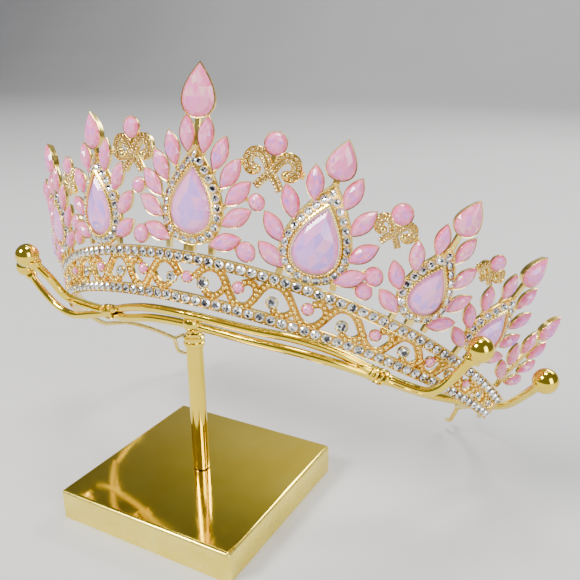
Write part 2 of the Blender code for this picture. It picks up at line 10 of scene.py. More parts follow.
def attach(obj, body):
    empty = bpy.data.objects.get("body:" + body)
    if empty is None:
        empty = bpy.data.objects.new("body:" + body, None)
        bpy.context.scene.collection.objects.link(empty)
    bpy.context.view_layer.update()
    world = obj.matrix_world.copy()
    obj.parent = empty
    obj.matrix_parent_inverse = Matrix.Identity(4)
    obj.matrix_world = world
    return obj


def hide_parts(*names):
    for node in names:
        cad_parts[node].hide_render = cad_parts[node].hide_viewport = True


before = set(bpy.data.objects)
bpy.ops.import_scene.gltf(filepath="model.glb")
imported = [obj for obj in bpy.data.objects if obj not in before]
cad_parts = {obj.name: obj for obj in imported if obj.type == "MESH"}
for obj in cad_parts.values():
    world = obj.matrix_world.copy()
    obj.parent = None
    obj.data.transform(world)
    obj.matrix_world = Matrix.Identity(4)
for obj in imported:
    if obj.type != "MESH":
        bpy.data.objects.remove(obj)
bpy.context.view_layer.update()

# A pink stone tiara in gilt metal on a plain gold display stand.
# Shapes are worked in millimetres and brought to metres when a piece is finished.
MM = 0.001

# Stand plate and post
PLATE_SIDE = 65.0
PLATE_HEIGHT = 10.0
PLATE_EDGE = 1.2
POST_RADIUS = 2.75
POST_TOP = 59.4
COLLAR_RADIUS = 3.4
COLLAR_LOW = 55.0
COLLAR_HIGH = 58.4
SEAT_GAP = 0.3
ROD_RADIUS = 1.4
BALL_RADIUS = 3.7

# How the tiara sits on the stand
TIARA_SEAT = Vector((11.0, -16.7, 78.2))
TIARA_TURN = math.radians(4.1)
TIARA_SIDE_TILT = math.radians(3.1)
TIARA_LEAN_BACK = math.radians(-39.2)
TIARA_PLACE = (
    Matrix.Translation(TIARA_SEAT)
    @ Matrix.Rotation(TIARA_TURN, 4, "Z")
    @ Matrix.Rotation(TIARA_SIDE_TILT, 4, "Y")
    @ Matrix.Rotation(TIARA_LEAN_BACK, 4, "X")
)

# The band is a strip of a cone
ARC_RADIUS = 81.8
CONE_SLOPE = math.radians(31.2)
BAND_END = math.radians(77.5)
BAND_HEIGHT = 11.6
BAND_TAPER = 0.302
RAIL_HALF_WIDTH = 1.6
BAND_STEPS = 150
END_PLATE_TURN = math.radians(76.6)

# Sizes of the stones, and steps from one small stone or bead to the next
ROW_STONE = 2.8
ROW_PITCH = 3.18
RING_STONE = 2.35
RING_PITCH = 2.62
RIM_BEAD_PITCH = 0.92
FRIEZE_STONE = 3.1
FRIEZE_CUP = 3.5
VINE_BEAD_PITCH = 1.42
CURL_BEAD_PITCH = 1.36
LEAF_WIDTH = 4.9
LEAF_LENGTH = 10.2
# Shares of its tray's width and length that an opal fills
OPAL_WIDE = 0.95
OPAL_LONG = 0.96
# Width of the pear formula before it is brought to the width asked for
PEAR_FORMULA_WIDTH = 0.7698
# Where a pear's facets meet, as a share of its height up from its middle
PEAR_PIVOT = -0.13

UP = Vector((0.0, 0.0, 1.0))

chance = np.random.default_rng(23)


def placed(across, up, out, spot):
    # Place with the given directions as its X, Y and Z axes
    place = Matrix((across, up, out)).transposed().to_4x4()
    place.translation = spot
    return place


def band_height(phi):
    return BAND_HEIGHT * (1.0 - BAND_TAPER * phi * phi)


def row_top(phi):
    # Height at which the tabs of the drops and fans stand on the upper row
    return band_height(phi) + RAIL_HALF_WIDTH + 1.3 * SEAT_GAP


def cone_matrix(phi, rise, out=0.0):
    across = Vector((math.cos(phi), math.sin(phi), 0.0))
    radial = Vector((math.sin(phi), -math.cos(phi), 0.0))
    slant = radial * math.sin(CONE_SLOPE) + UP * math.cos(CONE_SLOPE)
    outward = radial * math.cos(CONE_SLOPE) - UP * math.sin(CONE_SLOPE)
    spot = Vector((0.0, ARC_RADIUS, 0.0)) + radial * ARC_RADIUS + slant * rise + outward * out
    return placed(across, slant, outward, spot)


def bent_on_cone(points, phi, true_width):
    # Flat pattern points (sideways, rise, out) wrapped round the cone, centred on phi
    reach = ARC_RADIUS + (points[:, 1] * math.sin(CONE_SLOPE) if true_width else 0.0)
    turn = phi + points[:, 0] / reach
    radius = ARC_RADIUS + points[:, 1] * math.sin(CONE_SLOPE) + points[:, 2] * math.cos(CONE_SLOPE)
    height = points[:, 1] * math.cos(CONE_SLOPE) - points[:, 2] * math.sin(CONE_SLOPE)
    return np.column_stack((np.sin(turn) * radius, ARC_RADIUS - np.cos(turn) * radius, height))


# Outlines in the flat, anticlockwise from the top

def closed_outline(breadth, width, height, count, start=0.0, middle=0.0):
    # Points round a shape, whose formula gives its half breadth at each turn
    turns = [2.0 * math.pi * (k + start) / count for k in range(count)]
    return [Vector((-breadth(t) * width / 2.0, math.cos(t) * height / 2.0 + middle, 0.0)) for t in turns]


def pear_outline(width, height, count, middle=0.0):
    return closed_outline(lambda t: math.sin(t) * math.sin(t / 2.0) / PEAR_FORMULA_WIDTH,
                          width, height, count, middle=middle)


def leaf_outline(width, height, count):
    return closed_outline(lambda t: math.sin(t) * abs(math.sin(t)), width, height, count)


def round_outline(width, count, start=0.0):
    return closed_outline(math.sin, width, width, count, start)


def ring_at(outline, scale, out, pivot=0.0):
    return [Vector((p.x * scale, pivot + (p.y - pivot) * scale, out)) for p in outline]


def smooth_path(points, per_span):
    # Rounded path through a few points
    path = []
    last = len(points) - 1
    for i in range(last):
        p0 = points[max(i - 1, 0)]
        p1 = points[i]
        p2 = points[i + 1]
        p3 = points[min(i + 2, last)]
        for k in range(per_span):
            t = k / per_span
            b = (p2 - p0) * t
            c = (p0 * 2.0 - p1 * 5.0 + p2 * 4.0 - p3) * t * t
            d = (p1 * 3.0 - p0 - p2 * 3.0 + p3) * t * t * t
            path.append((p1 * 2.0 + b + c + d) * 0.5)
    path.append(points[last].copy())
    return path


def evenly(path, pitch, closed=False):
    # Spots at equal steps along a path, each with the direction the path takes there
    line = path + [path[0]] if closed else path
    lengths = [0.0]
    for a, b in zip(line, line[1:]):
        lengths.append(lengths[-1] + (b - a).length)
    count = max(2, round(lengths[-1] / pitch))
    found = []
    span = 0
    for k in range(count):
        goal = lengths[-1] * (k + (0.0 if closed else 0.5)) / count
        while lengths[span + 1] < goal:
            span += 1
        share = (goal - lengths[span]) / (lengths[span + 1] - lengths[span])
        along = (line[span + 1] - line[span]).normalized()
        found.append((line[span].lerp(line[span + 1], share), along))
    return found


# Shapes

def drawn_through(rings, joined=False):
    # A loop of points extruded from ring to ring, then closed by end faces or back on itself
    bm = bmesh.new()
    loop = [bm.verts.new(p) for p in rings[0]]
    edges = [bm.edges.new(pair) for pair in zip(loop, loop[1:] + loop[:1])]
    ends = list(edges)
    for ring in rings[1:] + (rings[:1] if joined else []):
        made = bmesh.ops.extrude_edge_only(bm, edges=edges)["geom"]
        fresh = {v for v in made if isinstance(v, bmesh.types.BMVert)}
        loop = [next(e.other_vert(v) for e in v.link_edges if e.other_vert(v) in fresh) for v in loop]
        for vert, spot in zip(loop, ring):
            vert.co = spot
        edges = [e for e in made if isinstance(e, bmesh.types.BMEdge) and set(e.verts) <= fresh]
    if joined:
        bmesh.ops.remove_doubles(bm, verts=bm.verts, dist=0.0001)
    else:
        bmesh.ops.holes_fill(bm, edges=ends + edges, sides=0)
    return bm


def cut_stone(levels, table_dip=0.0):
    # Facets stretched over rings of points, from the back to the table
    bm = bmesh.new()
    for ring in levels:
        for spot in ring:
            bm.verts.new(spot)
    hull = bmesh.ops.convex_hull(bm, input=bm.verts)
    spare = {g for g in hull["geom_interior"] + hull["geom_unused"] if isinstance(g, bmesh.types.BMVert)}
    bmesh.ops.delete(bm, geom=list(spare), context="VERTS")
    bmesh.ops.dissolve_limit(bm, angle_limit=0.02, verts=bm.verts, edges=bm.edges)
    if table_dip:
        bm.normal_update()
        table = max(bm.faces, key=lambda f: (round(f.calc_center_median().z, 3), f.calc_area()))
        bmesh.ops.poke(bm, faces=[table], offset=-table_dip, center_mode="MEAN_WEIGHTED")
    return bm


def rod(path, radius, sides):
    # Round wire along a path, its ring carried along without twist
    rings = []
    normal = None
    for i, spot in enumerate(path):
        along = (path[min(i + 1, len(path) - 1)] - path[max(i - 1, 0)]).normalized()
        if normal is None:
            seed = UP if abs(along.z) < 0.9 else Vector((1.0, 0.0, 0.0))
            normal = seed.cross(along)
        normal = (normal - along * normal.dot(along)).normalized()
        side = along.cross(normal)
        size = radius[i] if isinstance(radius, list) else radius
        turns = [2.0 * math.pi * k / sides for k in range(sides)]
        rings.append([spot + (normal * math.cos(t) + side * math.sin(t)) * size for t in turns])
    return drawn_through(rings)


def strip(path, profile, widths=None):
    # A flat strip that follows a path in the pattern's plane, with corners (sideways, out)
    rings = []
    for i, spot in enumerate(path):
        wide = widths[i] if widths else 1.0
        along = (path[min(i + 1, len(path) - 1)] - path[max(i - 1, 0)]).normalized()
        across = Vector((along.y, -along.x, 0.0))
        rings.append([spot + across * side * wide + UP * out for side, out in profile])
    return drawn_through(rings)


def ball(radius, around, levels):
    bm = bmesh.new()
    bmesh.ops.create_uvsphere(bm, u_segments=around, v_segments=levels, radius=radius)
    return bm


def turned_shape(profile, steps=48):
    # A profile of (radius, height) spun round the upright axis
    bm = bmesh.new()
    line = [bm.verts.new((radius, 0.0, height)) for radius, height in profile]
    edges = [bm.edges.new(pair) for pair in zip(line, line[1:])]
    bmesh.ops.spin(bm, geom=line + edges, axis=(0.0, 0.0, 1.0), cent=(0.0, 0.0, 0.0),
                   angle=2.0 * math.pi, steps=steps, use_merge=True)
    bmesh.ops.remove_doubles(bm, verts=bm.verts, dist=0.0001)
    return bm


def cup(outline, back, girdle, pivot=0.0):
    # Tray for a stone: rounded back, straight wall and a thin rim that grips the stone
    return drawn_through([
        ring_at(outline, 0.76, back - 0.3, pivot),
        ring_at(outline, 0.92, back, pivot),
        ring_at(outline, 1.0, girdle - 0.5, pivot),
        ring_at(outline, 1.035, girdle - 0.1, pivot),
        ring_at(outline, 1.02, girdle + 0.08, pivot),
        ring_at(outline, 0.97, girdle + 0.02, pivot),
        ring_at(outline, 0.94, girdle - 0.35, pivot),
    ])


def opal_leaf(size):
    width = LEAF_WIDTH * OPAL_WIDE * size
    length = LEAF_LENGTH * OPAL_LONG * size
    return cut_stone([
        ring_at(leaf_outline(width, length, 16), 0.85, 0.1),
        ring_at(leaf_outline(width, length, 16), 1.0, 0.45),
        ring_at(leaf_outline(width, length, 12), 0.80, 1.25),
        ring_at(leaf_outline(width, length, 8), 0.50, 1.85),
    ], 0.22)


def opal_pear(width, height, back, girdle, front):
    # Rim facets, kite facets, and a low point under the middle where they meet
    pivot = PEAR_PIVOT * height
    tall = front - girdle
    rim = pear_outline(width, height, 28)
    kites = pear_outline(width, height, 14)
    inner = pear_outline(width, height, 7)
    return cut_stone([
        ring_at(rim, 0.45, back, pivot),
        ring_at(rim, 0.99, girdle - 0.3, pivot),
        ring_at(rim, 1.0, girdle, pivot),
        ring_at(kites, 0.80, girdle + tall * 0.52, pivot),
        ring_at(inner, 0.46, girdle + tall * 0.90, pivot),
        [Vector((0.0, pivot, front))],
    ])


def opal_round(width, girdle, front):
    tall = front - girdle
    return cut_stone([
        ring_at(round_outline(width, 16), 0.85, girdle - 0.4),
        ring_at(round_outline(width, 16), 1.0, girdle),
        ring_at(round_outline(width, 8, 0.5), 0.78, girdle + tall * 0.6),
        ring_at(round_outline(width, 8), 0.45, front),
    ], 0.06)


def brilliant(width):
    # Small clear round stone with a table, star facets, kites and girdle facets
    return cut_stone([
        ring_at(round_outline(width, 6), 0.6, -0.28 * width),
        ring_at(round_outline(width, 12), 1.0, 0.0),
        ring_at(round_outline(width, 6, 0.5), 0.80, 0.10 * width),
        ring_at(round_outline(width, 6), 0.55, 0.19 * width),
    ], 0.03 * width)


# Pieces gathered as arrays

def cast(bm):
    # Points, corners, corners per face and face heights of a shape that will be repeated
    bmesh.ops.recalc_face_normals(bm, faces=bm.faces)
    mesh = bpy.data.meshes.new("cast")
    bm.to_mesh(mesh)
    bm.free()
    points = np.empty(len(mesh.vertices) * 3)
    mesh.vertices.foreach_get("co", points)
    points = points.reshape(-1, 3)
    corners = np.empty(len(mesh.loops), dtype=int)
    mesh.loops.foreach_get("vertex_index", corners)
    sizes = np.empty(len(mesh.polygons), dtype=int)
    mesh.polygons.foreach_get("loop_total", sizes)
    bpy.data.meshes.remove(mesh)
    starts = np.concatenate(([0], np.cumsum(sizes)[:-1]))
    heights = np.add.reduceat(points[corners, 2], starts) / sizes
    return points, corners, sizes, heights


class Gathering:
    # Many shapes joined into one mesh, with the level and tone of each face kept beside it

    def __init__(self):
        self.points = []
        self.corners = []
        self.sizes = []
        self.levels = []
        self.tones = []
        self.finishes = []
        self.count = 0

    def add(self, shape, places=None, groove=None):
        # Faces at the height of the groove take the second finish, a darker gold painted as shade in the
        # grooves
        points, corners, sizes, heights = cast(shape) if isinstance(shape, bmesh.types.BMesh) else shape
        levels = (heights - heights.min()) / max(np.ptp(heights), 0.0001)
        finish = np.zeros(len(sizes), dtype=int)
        if groove is not None:
            finish[np.abs(heights - groove) < 0.03] = 1
        for place in places or [Matrix.Identity(4)]:
            grid = np.array(place)
            self.points.append(points @ grid[:3, :3].T + grid[:3, 3])
            self.corners.append(corners + self.count)
            self.sizes.append(sizes)
            self.levels.append(levels)
            # Random tone of each face: colour variation on the opals, and painted glints and reflections
            # on the clear stones
            stone_tone = chance.random()
            self.tones.append(0.75 * chance.random(len(sizes)) + 0.25 * stone_tone)
            self.finishes.append(finish)
            self.count += len(points)

    def take(self, other):
        # The shapes of another gathering, after this one's own
        self.points += other.points
        self.corners += [corners + self.count for corners in other.corners]
        self.sizes += other.sizes
        self.levels += other.levels
        self.tones += other.tones
        self.finishes += other.finishes
        self.count += other.count

    def bend(self, phi, true_width=True):
        self.points = [bent_on_cone(points, phi, true_width) for points in self.points]

    def piece(self, name, finishes, replaced=None, smooth=True, place=TIARA_PLACE):
        mesh = bpy.data.meshes.new(name)
        points = np.concatenate(self.points)
        corners = np.concatenate(self.corners)
        sizes = np.concatenate(self.sizes)
        mesh.vertices.add(len(points))
        mesh.vertices.foreach_set("co", points.ravel())
        mesh.loops.add(len(corners))
        mesh.loops.foreach_set("vertex_index", corners)
        mesh.polygons.add(len(sizes))
        mesh.polygons.foreach_set("loop_start", np.concatenate(([0], np.cumsum(sizes)[:-1])))
        mesh.polygons.foreach_set("use_smooth", np.full(len(sizes), smooth))
        mesh.polygons.foreach_set("material_index", np.concatenate(self.finishes))
        mesh.update(calc_edges=True)
        for label, values in (("level", self.levels), ("tone", self.tones)):
            kept = mesh.attributes.new(label, "FLOAT", "FACE")
            kept.data.foreach_set("value", np.concatenate(values).astype(np.float32))
        mesh.transform(Matrix.Scale(MM, 4) @ place)
        if smooth:
            mesh.set_sharp_from_angle(angle=math.radians(38.0))
        for finish in finishes:
            mesh.materials.append(finish)
        obj = bpy.data.objects.new(name, mesh)
        bpy.context.scene.collection.objects.link(obj)
        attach(obj, "root")
        if replaced:
            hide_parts(replaced)
        return obj


# Finishes

# Golds: deep colour, bright colour, smoothest and roughest place, fineness of the clouds, and bumps
GOLDS = {
    "tiara_gold_plate": ((0.90, 0.60, 0.10), (1.0, 0.82, 0.26), 0.12, 0.28, 300.0, 0.08),
    # Darker, more orange gold for the grooves: painted shade in the recesses
    "tiara_gold_painted_groove_shade": ((0.50, 0.26, 0.03), (0.84, 0.50, 0.09), 0.25, 0.45, 300.0, 0.1),
    "stand_polished_gold": ((0.92, 0.66, 0.05), (1.0, 0.77, 0.09), 0.05, 0.12, 60.0, 0.03),
    "stand_satin_gold": ((0.95, 0.76, 0.10), (1.0, 0.85, 0.20), 0.24, 0.36, 120.0, 0.06),
}
# Foil-backed clear stones: colours of facets painted dark as painted reflections, middling facets, and
# facets painted bright as painted glints
CLEAR_PAINTED_GLINT_TONES = ((0.03, 0.03, 0.04), (0.84, 0.87, 0.82), (1.0, 1.0, 1.0))
CHAMPAGNE_PAINTED_GLINT_TONES = ((0.30, 0.14, 0.02), (0.90, 0.62, 0.16), (1.0, 0.90, 0.50))
# How much darker the table facet is painted, a painted dark reflection
PAINTED_TABLE_REFLECTION_DARKNESS = 0.46
# Opals: colours of the rim facets, and of the facets where the foil glows through
SMALL_RIM = [(0.0, (0.92, 0.07, 0.22)), (0.5, (0.98, 0.16, 0.36)), (1.0, (1.0, 0.36, 0.52))]
SMALL_HEART = [
    (0.0, (0.50, 0.20, 0.82)), (0.25, (0.78, 0.24, 0.72)), (0.45, (0.97, 0.20, 0.46)),
    (0.8, (1.0, 0.34, 0.54)), (1.0, (1.0, 0.64, 0.50)),
]
LARGE_RIM = [(0.0, (0.92, 0.16, 0.50)), (0.5, (0.96, 0.28, 0.60)), (1.0, (1.0, 0.42, 0.68))]
LARGE_HEART = [
    (0.0, (0.44, 0.28, 0.96)), (0.4, (0.64, 0.34, 0.92)), (0.6, (0.88, 0.34, 0.78)),
    (1.0, (1.0, 0.50, 0.70)),
]
MILKY_PINK = (1.0, 0.50, 0.64, 1.0)
FLOOR_TONES = [(0.3, (0.56, 0.555, 0.55)), (0.7, (0.60, 0.595, 0.59))]


def new_finish(name):
    mat = bpy.data.materials.new(name)
    mat.use_nodes = True
    tree = mat.node_tree
    return mat, tree, tree.nodes["Principled BSDF"]


def noise(tree, scale, detail):
    where = tree.nodes.new("ShaderNodeTexCoord")
    node = tree.nodes.new("ShaderNodeTexNoise")
    node.inputs["Scale"].default_value = scale
    node.inputs["Detail"].default_value = detail
    tree.links.new(where.outputs["Object"], node.inputs["Vector"])
    return node.outputs["Fac"]


def colour_steps(tree, source, steps):
    ramp = tree.nodes.new("ShaderNodeValToRGB")
    band = ramp.color_ramp
    while len(band.elements) < len(steps):
        band.elements.new(0.5)
    for element, (spot, colour) in zip(band.elements, steps):
        element.position = spot
        element.color = (*colour, 1.0)
    tree.links.new(source, ramp.inputs["Fac"])
    return ramp.outputs["Color"]


def face_value(tree, label):
    node = tree.nodes.new("ShaderNodeAttribute")
    node.attribute_name = label
    return node.outputs["Fac"]


def blended(tree, share, first, second):
    # Colour that goes from the first to the second as the share goes from 0 to 1
    node = tree.nodes.new("ShaderNodeMix")
    node.data_type = "RGBA"
    tree.links.new(share, node.inputs["Factor"])
    tree.links.new(first, node.inputs["A"])
    if isinstance(second, tuple):
        node.inputs["B"].default_value = second
    else:
        tree.links.new(second, node.inputs["B"])
    return node.outputs["Result"]


def ranged(tree, source, low, high, from_low=0.3, from_high=0.7):
    node = tree.nodes.new("ShaderNodeMapRange")
    node.inputs["From Min"].default_value = from_low
    node.inputs["From Max"].default_value = from_high
    node.inputs["To Min"].default_value = low
    node.inputs["To Max"].default_value = high
    tree.links.new(source, node.inputs["Value"])
    return node.outputs["Result"]


def bumped(tree, source, shader, strength, distance):
    node = tree.nodes.new("ShaderNodeBump")
    node.inputs["Strength"].default_value = strength
    node.inputs["Distance"].default_value = distance
    tree.links.new(source, node.inputs["Height"])
    tree.links.new(node.outputs["Normal"], shader.inputs["Normal"])


def gold_finish(name):
    deep, bright, smoothest, roughest, scale, bump = GOLDS[name]
    mat, tree, shader = new_finish(name)
    shader.inputs["Metallic"].default_value = 1.0
    cloud = noise(tree, scale, 3.0)
    tree.links.new(colour_steps(tree, cloud, [(0.3, deep), (0.7, bright)]), shader.inputs["Base Color"])
    wear = noise(tree, scale * 3.1, 5.0)
    tree.links.new(ranged(tree, wear, smoothest, roughest), shader.inputs["Roughness"])
    bumped(tree, noise(tree, scale * 5.0, 4.0), shader, bump, 0.0002)
    return mat


def opal_finish(name, rim_colours, heart_colours):
    # Milky pink glass: pink at the rim, lavender and peach where the foil glows through the middle
    mat, tree, shader = new_finish(name)
    tone = face_value(tree, "tone")
    rim = colour_steps(tree, tone, rim_colours)
    heart = colour_steps(tree, tone, heart_colours)
    inward = ranged(tree, face_value(tree, "level"), 0.0, 1.0, 0.55, 0.9)
    cloud = ranged(tree, noise(tree, 420.0, 2.0), 0.0, 0.3)
    colour = blended(tree, cloud, blended(tree, inward, rim, heart), MILKY_PINK)
    tree.links.new(colour, shader.inputs["Base Color"])
    tree.links.new(ranged(tree, noise(tree, 900.0, 2.0), 0.05, 0.14), shader.inputs["Roughness"])
    shader.inputs["IOR"].default_value = 1.6
    shader.inputs["Coat Weight"].default_value = 0.3
    shader.inputs["Coat Roughness"].default_value = 0.03
    shader.inputs["Subsurface Weight"].default_value = 0.2
    shader.inputs["Subsurface Radius"].default_value = (1.0, 0.5, 0.6)
    shader.inputs["Subsurface Scale"].default_value = 0.0012
    return mat


def painted_glint_finish(name, painted_dark_reflection, middling, bright):
    # Foil-backed stones: each facet painted a little brighter or darker than the next as painted glints
    # and reflections, and the table painted darkest as a painted dark reflection
    mat, tree, shader = new_finish(name)
    table = ranged(tree, face_value(tree, "level"), 0.0, 1.0, 0.88, 0.96)
    painted_glint_level = tree.nodes.new("ShaderNodeMath")
    painted_glint_level.operation = "MULTIPLY_ADD"
    painted_glint_level.inputs[1].default_value = -PAINTED_TABLE_REFLECTION_DARKNESS
    tree.links.new(table, painted_glint_level.inputs[0])
    tree.links.new(face_value(tree, "tone"), painted_glint_level.inputs[2])
    dusk = tuple(0.8 * a + 0.2 * b for a, b in zip(painted_dark_reflection, middling))
    steps = [(0.0, painted_dark_reflection), (0.05, dusk), (0.12, middling), (1.0, bright)]
    tree.links.new(colour_steps(tree, painted_glint_level.outputs["Value"], steps), shader.inputs["Base Color"])
    tree.links.new(ranged(tree, noise(tree, 1500.0, 2.0), 0.04, 0.16), shader.inputs["Roughness"])
    shader.inputs["Metallic"].default_value = 0.72
    shader.inputs["Coat Weight"].default_value = 1.0
    shader.inputs["Coat Roughness"].default_value = 0.02
    shader.inputs["IOR"].default_value = 1.6
    return mat


def floor_finish():
    mat, tree, shader = new_finish("pale_floor")
    tree.links.new(colour_steps(tree, noise(tree, 2.0, 3.0), FLOOR_TONES), shader.inputs["Base Color"])
    shader.inputs["Roughness"].default_value = 0.75
    return mat


# Stand

def build_stand_plate(polished, satin):
    bm = bmesh.new()
    bmesh.ops.create_cube(bm, size=1.0)
    bmesh.ops.scale(bm, verts=bm.verts, vec=(PLATE_SIDE, PLATE_SIDE, PLATE_HEIGHT))
    bmesh.ops.translate(bm, verts=bm.verts, vec=(0.0, 0.0, PLATE_HEIGHT / 2.0))
    upper = [e for e in bm.edges if max(v.co.z for v in e.verts) > PLATE_HEIGHT * 0.4]
    bmesh.ops.bevel(bm, geom=upper, offset=PLATE_EDGE, offset_type="OFFSET", segments=5,
                    profile=0.5, affect="EDGES", material=-1, clamp_overlap=True)
    whole = cast(bm)
    parts = Gathering()
    parts.add(whole)
    parts.finishes = [np.where(whole[3] > PLATE_HEIGHT - PLATE_EDGE * 0.3, 0, 1)]
    parts.piece("stand_plate", [polished, satin], "stand_base", place=Matrix.Identity(4))


def build_stand_post(polished):
    foot = PLATE_HEIGHT + SEAT_GAP
    profile = [(0.0, foot), (POST_RADIUS - 0.15, foot), (POST_RADIUS, foot + 0.15),
               (POST_RADIUS, COLLAR_LOW - 0.1)]
    middle = (COLLAR_LOW + COLLAR_HIGH) / 2.0
    for low, high in ((COLLAR_LOW, middle), (middle, COLLAR_HIGH)):
        profile += [(COLLAR_RADIUS - 0.35, low), (COLLAR_RADIUS, low + 0.3), (COLLAR_RADIUS, high - 0.3),
                    (COLLAR_RADIUS - 0.35, high)]
    top = POST_RADIUS * 0.95
    profile += [(top, COLLAR_HIGH + 0.2), (top, POST_TOP - 0.2), (top - 0.2, POST_TOP), (0.0, POST_TOP)]
    parts = Gathering()
    parts.add(turned_shape(profile))
    parts.piece("stand_post_rod", [polished], "stand_post", place=Matrix.Identity(4))


# Cradle rods in the tiara's axes: to the right, to the back and up
LEFT_FRONT_ARM = [
    (-50.0, 35.5, -1.2), (-53.0, 27.0, -2.9), (-54.6, 18.0, -3.6), (-57.6, 11.5, -0.6), (-58.8, -1.0, 2.2),
]
UPPER_RAIL = [
    (-50.0, 35.5, -1.2), (-37.0, 28.0, -0.4), (-23.3, 20.6, -0.4), (-8.0, 18.0, -0.5), (12.5, 19.6, -0.4),
    (27.5, 21.0, 0.2), (40.3, 27.0, 0.0), (51.5, 35.0, -1.5),
]
RIGHT_FRONT_ARM = [
    (51.5, 35.0, -1.5), (60.0, 33.5, -3.2), (67.0, 30.5, -3.7), (72.0, 27.5, 0.4), (75.3, 23.5, 4.0),
    (78.9, 18.4, 8.0),
]
LEFT_BACK_ARM = [
    (-51.0, 38.0, -2.2), (-60.0, 42.0, -2.8), (-71.5, 46.5, -3.9), (-81.0, 47.0, -2.0), (-90.0, 44.0, 3.0),
    (-95.7, 39.0, 8.5),
]
LOWER_RAIL = [
    (-51.0, 38.0, -2.2), (-38.0, 31.0, -3.3), (-24.3, 25.0, -2.6), (-8.4, 22.4, -2.5), (12.5, 21.8, -3.2),
    (28.4, 22.6, -3.2), (42.0, 28.0, -2.9), (52.5, 37.5, -2.4),
]
RIGHT_BACK_ARM = [
    (52.5, 37.5, -2.4), (61.5, 51.0, -0.8), (70.0, 65.0, 2.2), (76.5, 71.5, 4.0), (82.0, 70.0, 4.6),
    (87.0, 61.5, 5.2), (95.7, 39.0, 8.5),
]
# Where the rods are bound together: near and far end of each binding
LEFT_BINDING = [(-50.4, 36.7, -1.7), (-42.0, 31.5, -1.8)]
RIGHT_BINDING = [(52.0, 36.2, -2.0), (44.0, 29.5, -1.5)]
COIL_TURNS = 4
COIL_STEPS = 96
# Collar under each ball, as radius and height
COLLAR_PROFILE = [(0.0, -0.9), (1.9, -0.9), (2.15, -0.6), (2.15, 0.4), (1.9, 0.8), (0.0, 0.8)]
# Head that sits on the post, measured upright from the top of the post
HEAD_NECK = [(0.0, 0.0, SEAT_GAP), (0.0, 0.0, SEAT_GAP + 1.3), (0.8, -1.4, SEAT_GAP + 3.9)]
HEAD_NECK_RADII = [2.3, 2.4, 2.6]
HEAD_BALL = (1.2, -2.2, 4.1)
HEAD_BALL_RADIUS = 2.9


def spots(rows):
    return [Vector(row) for row in rows]


def facing(spot, along):
    # Place whose upright axis points along a direction
    place = along.to_track_quat("Z", "Y").to_matrix().to_4x4()
    place.translation = spot
    return place


def wrapped_joint(parts, near, far):
    # Wire wound round the two rods where they meet, ending in two pointed tips
    axis = (far - near).normalized()
    side = axis.cross(UP).normalized()
    up = side.cross(axis)
    reach = (far - near).length * 0.62
    coil = []
    for k in range(COIL_STEPS + 1):
        share = k / COIL_STEPS
        t = 2.0 * math.pi * COIL_TURNS * share
        lift = 2.05 - 0.35 * share
        coil.append(near + axis * reach * share + (side * math.cos(t) * 1.25 + up * math.sin(t)) * lift)
    parts.add(rod(coil, 0.72, 8))
    for drop in (-1.2, 1.2):
        start = near + axis * reach * 0.6 + side * drop
        tip = far + side * drop * 1.3
        line = [start.lerp(tip, share) for share in (0.0, 0.5, 0.8, 1.0)]
        parts.add(rod(line, [1.25, 1.15, 0.8, 0.25], 12))


def build_cradle(polished):
    upper = spots(LEFT_FRONT_ARM)[::-1] + spots(UPPER_RAIL)[1:] + spots(RIGHT_FRONT_ARM)[1:]
    lower = spots(LEFT_BACK_ARM)[::-1] + spots(LOWER_RAIL)[1:] + spots(RIGHT_BACK_ARM)[1:]
    parts = Gathering()
    knob = cast(ball(BALL_RADIUS, 32, 20))
    collar = cast(turned_shape(COLLAR_PROFILE, 32))
    for line in (upper, lower):
        path = smooth_path(line, 6)
        parts.add(rod(path, ROD_RADIUS, 16))
        for end, before in ((path[0], path[2]), (path[-1], path[-3])):
            along = (end - before).normalized()
            parts.add(knob, [facing(end, along)])
            parts.add(collar, [facing(end - along * (BALL_RADIUS + 0.2), along)])
    wrapped_joint(parts, *spots(LEFT_BINDING))
    wrapped_joint(parts, *spots(RIGHT_BINDING))
    post_top = TIARA_PLACE.inverted() @ Matrix.Translation((0.0, 0.0, POST_TOP))
    parts.add(rod(spots(HEAD_NECK), HEAD_NECK_RADII, 32), [post_top])
    parts.add(ball(HEAD_BALL_RADIUS, 32, 20), [post_top @ Matrix.Translation(HEAD_BALL)])
    parts.piece("stand_cradle_rods", [polished], "stand_cradle")


# Band

# Frieze stones: degrees from the middle, share of the band's height, and tint
FRIEZE_STONES = [
    (0.0, 0.53, "pink"), (3.4, 0.46, "clear"), (10.5, 0.56, "pink"), (17.2, 0.43, "clear"),
    (23.8, 0.55, "pink"), (30.8, 0.43, "clear"), (37.3, 0.55, "pink"), (44.0, 0.44, "clear"),
    (50.4, 0.54, "pink"), (56.4, 0.45, "clear"), (61.8, 0.53, "pink"), (67.6, 0.47, "clear"),
    (73.4, 0.50, "clear"),
]
# Degrees at which the vine has its low turns
WAVE_STARTS = [0.0, 10.5, 23.8, 37.3, 50.4, 61.8, 73.4]
# The vine starts beside the middle stone, and its low turns lie a little outside the pink stones
VINE_START = 1.5
VINE_END = WAVE_STARTS[-1]
VINE_STEPS = 130
LOW_TURN_DELAY = 0.07
# Height of the vine's low turns, and how far it rises above them, as shares of the band's height
VINE_LOW = 0.13
VINE_LIFT = 0.75
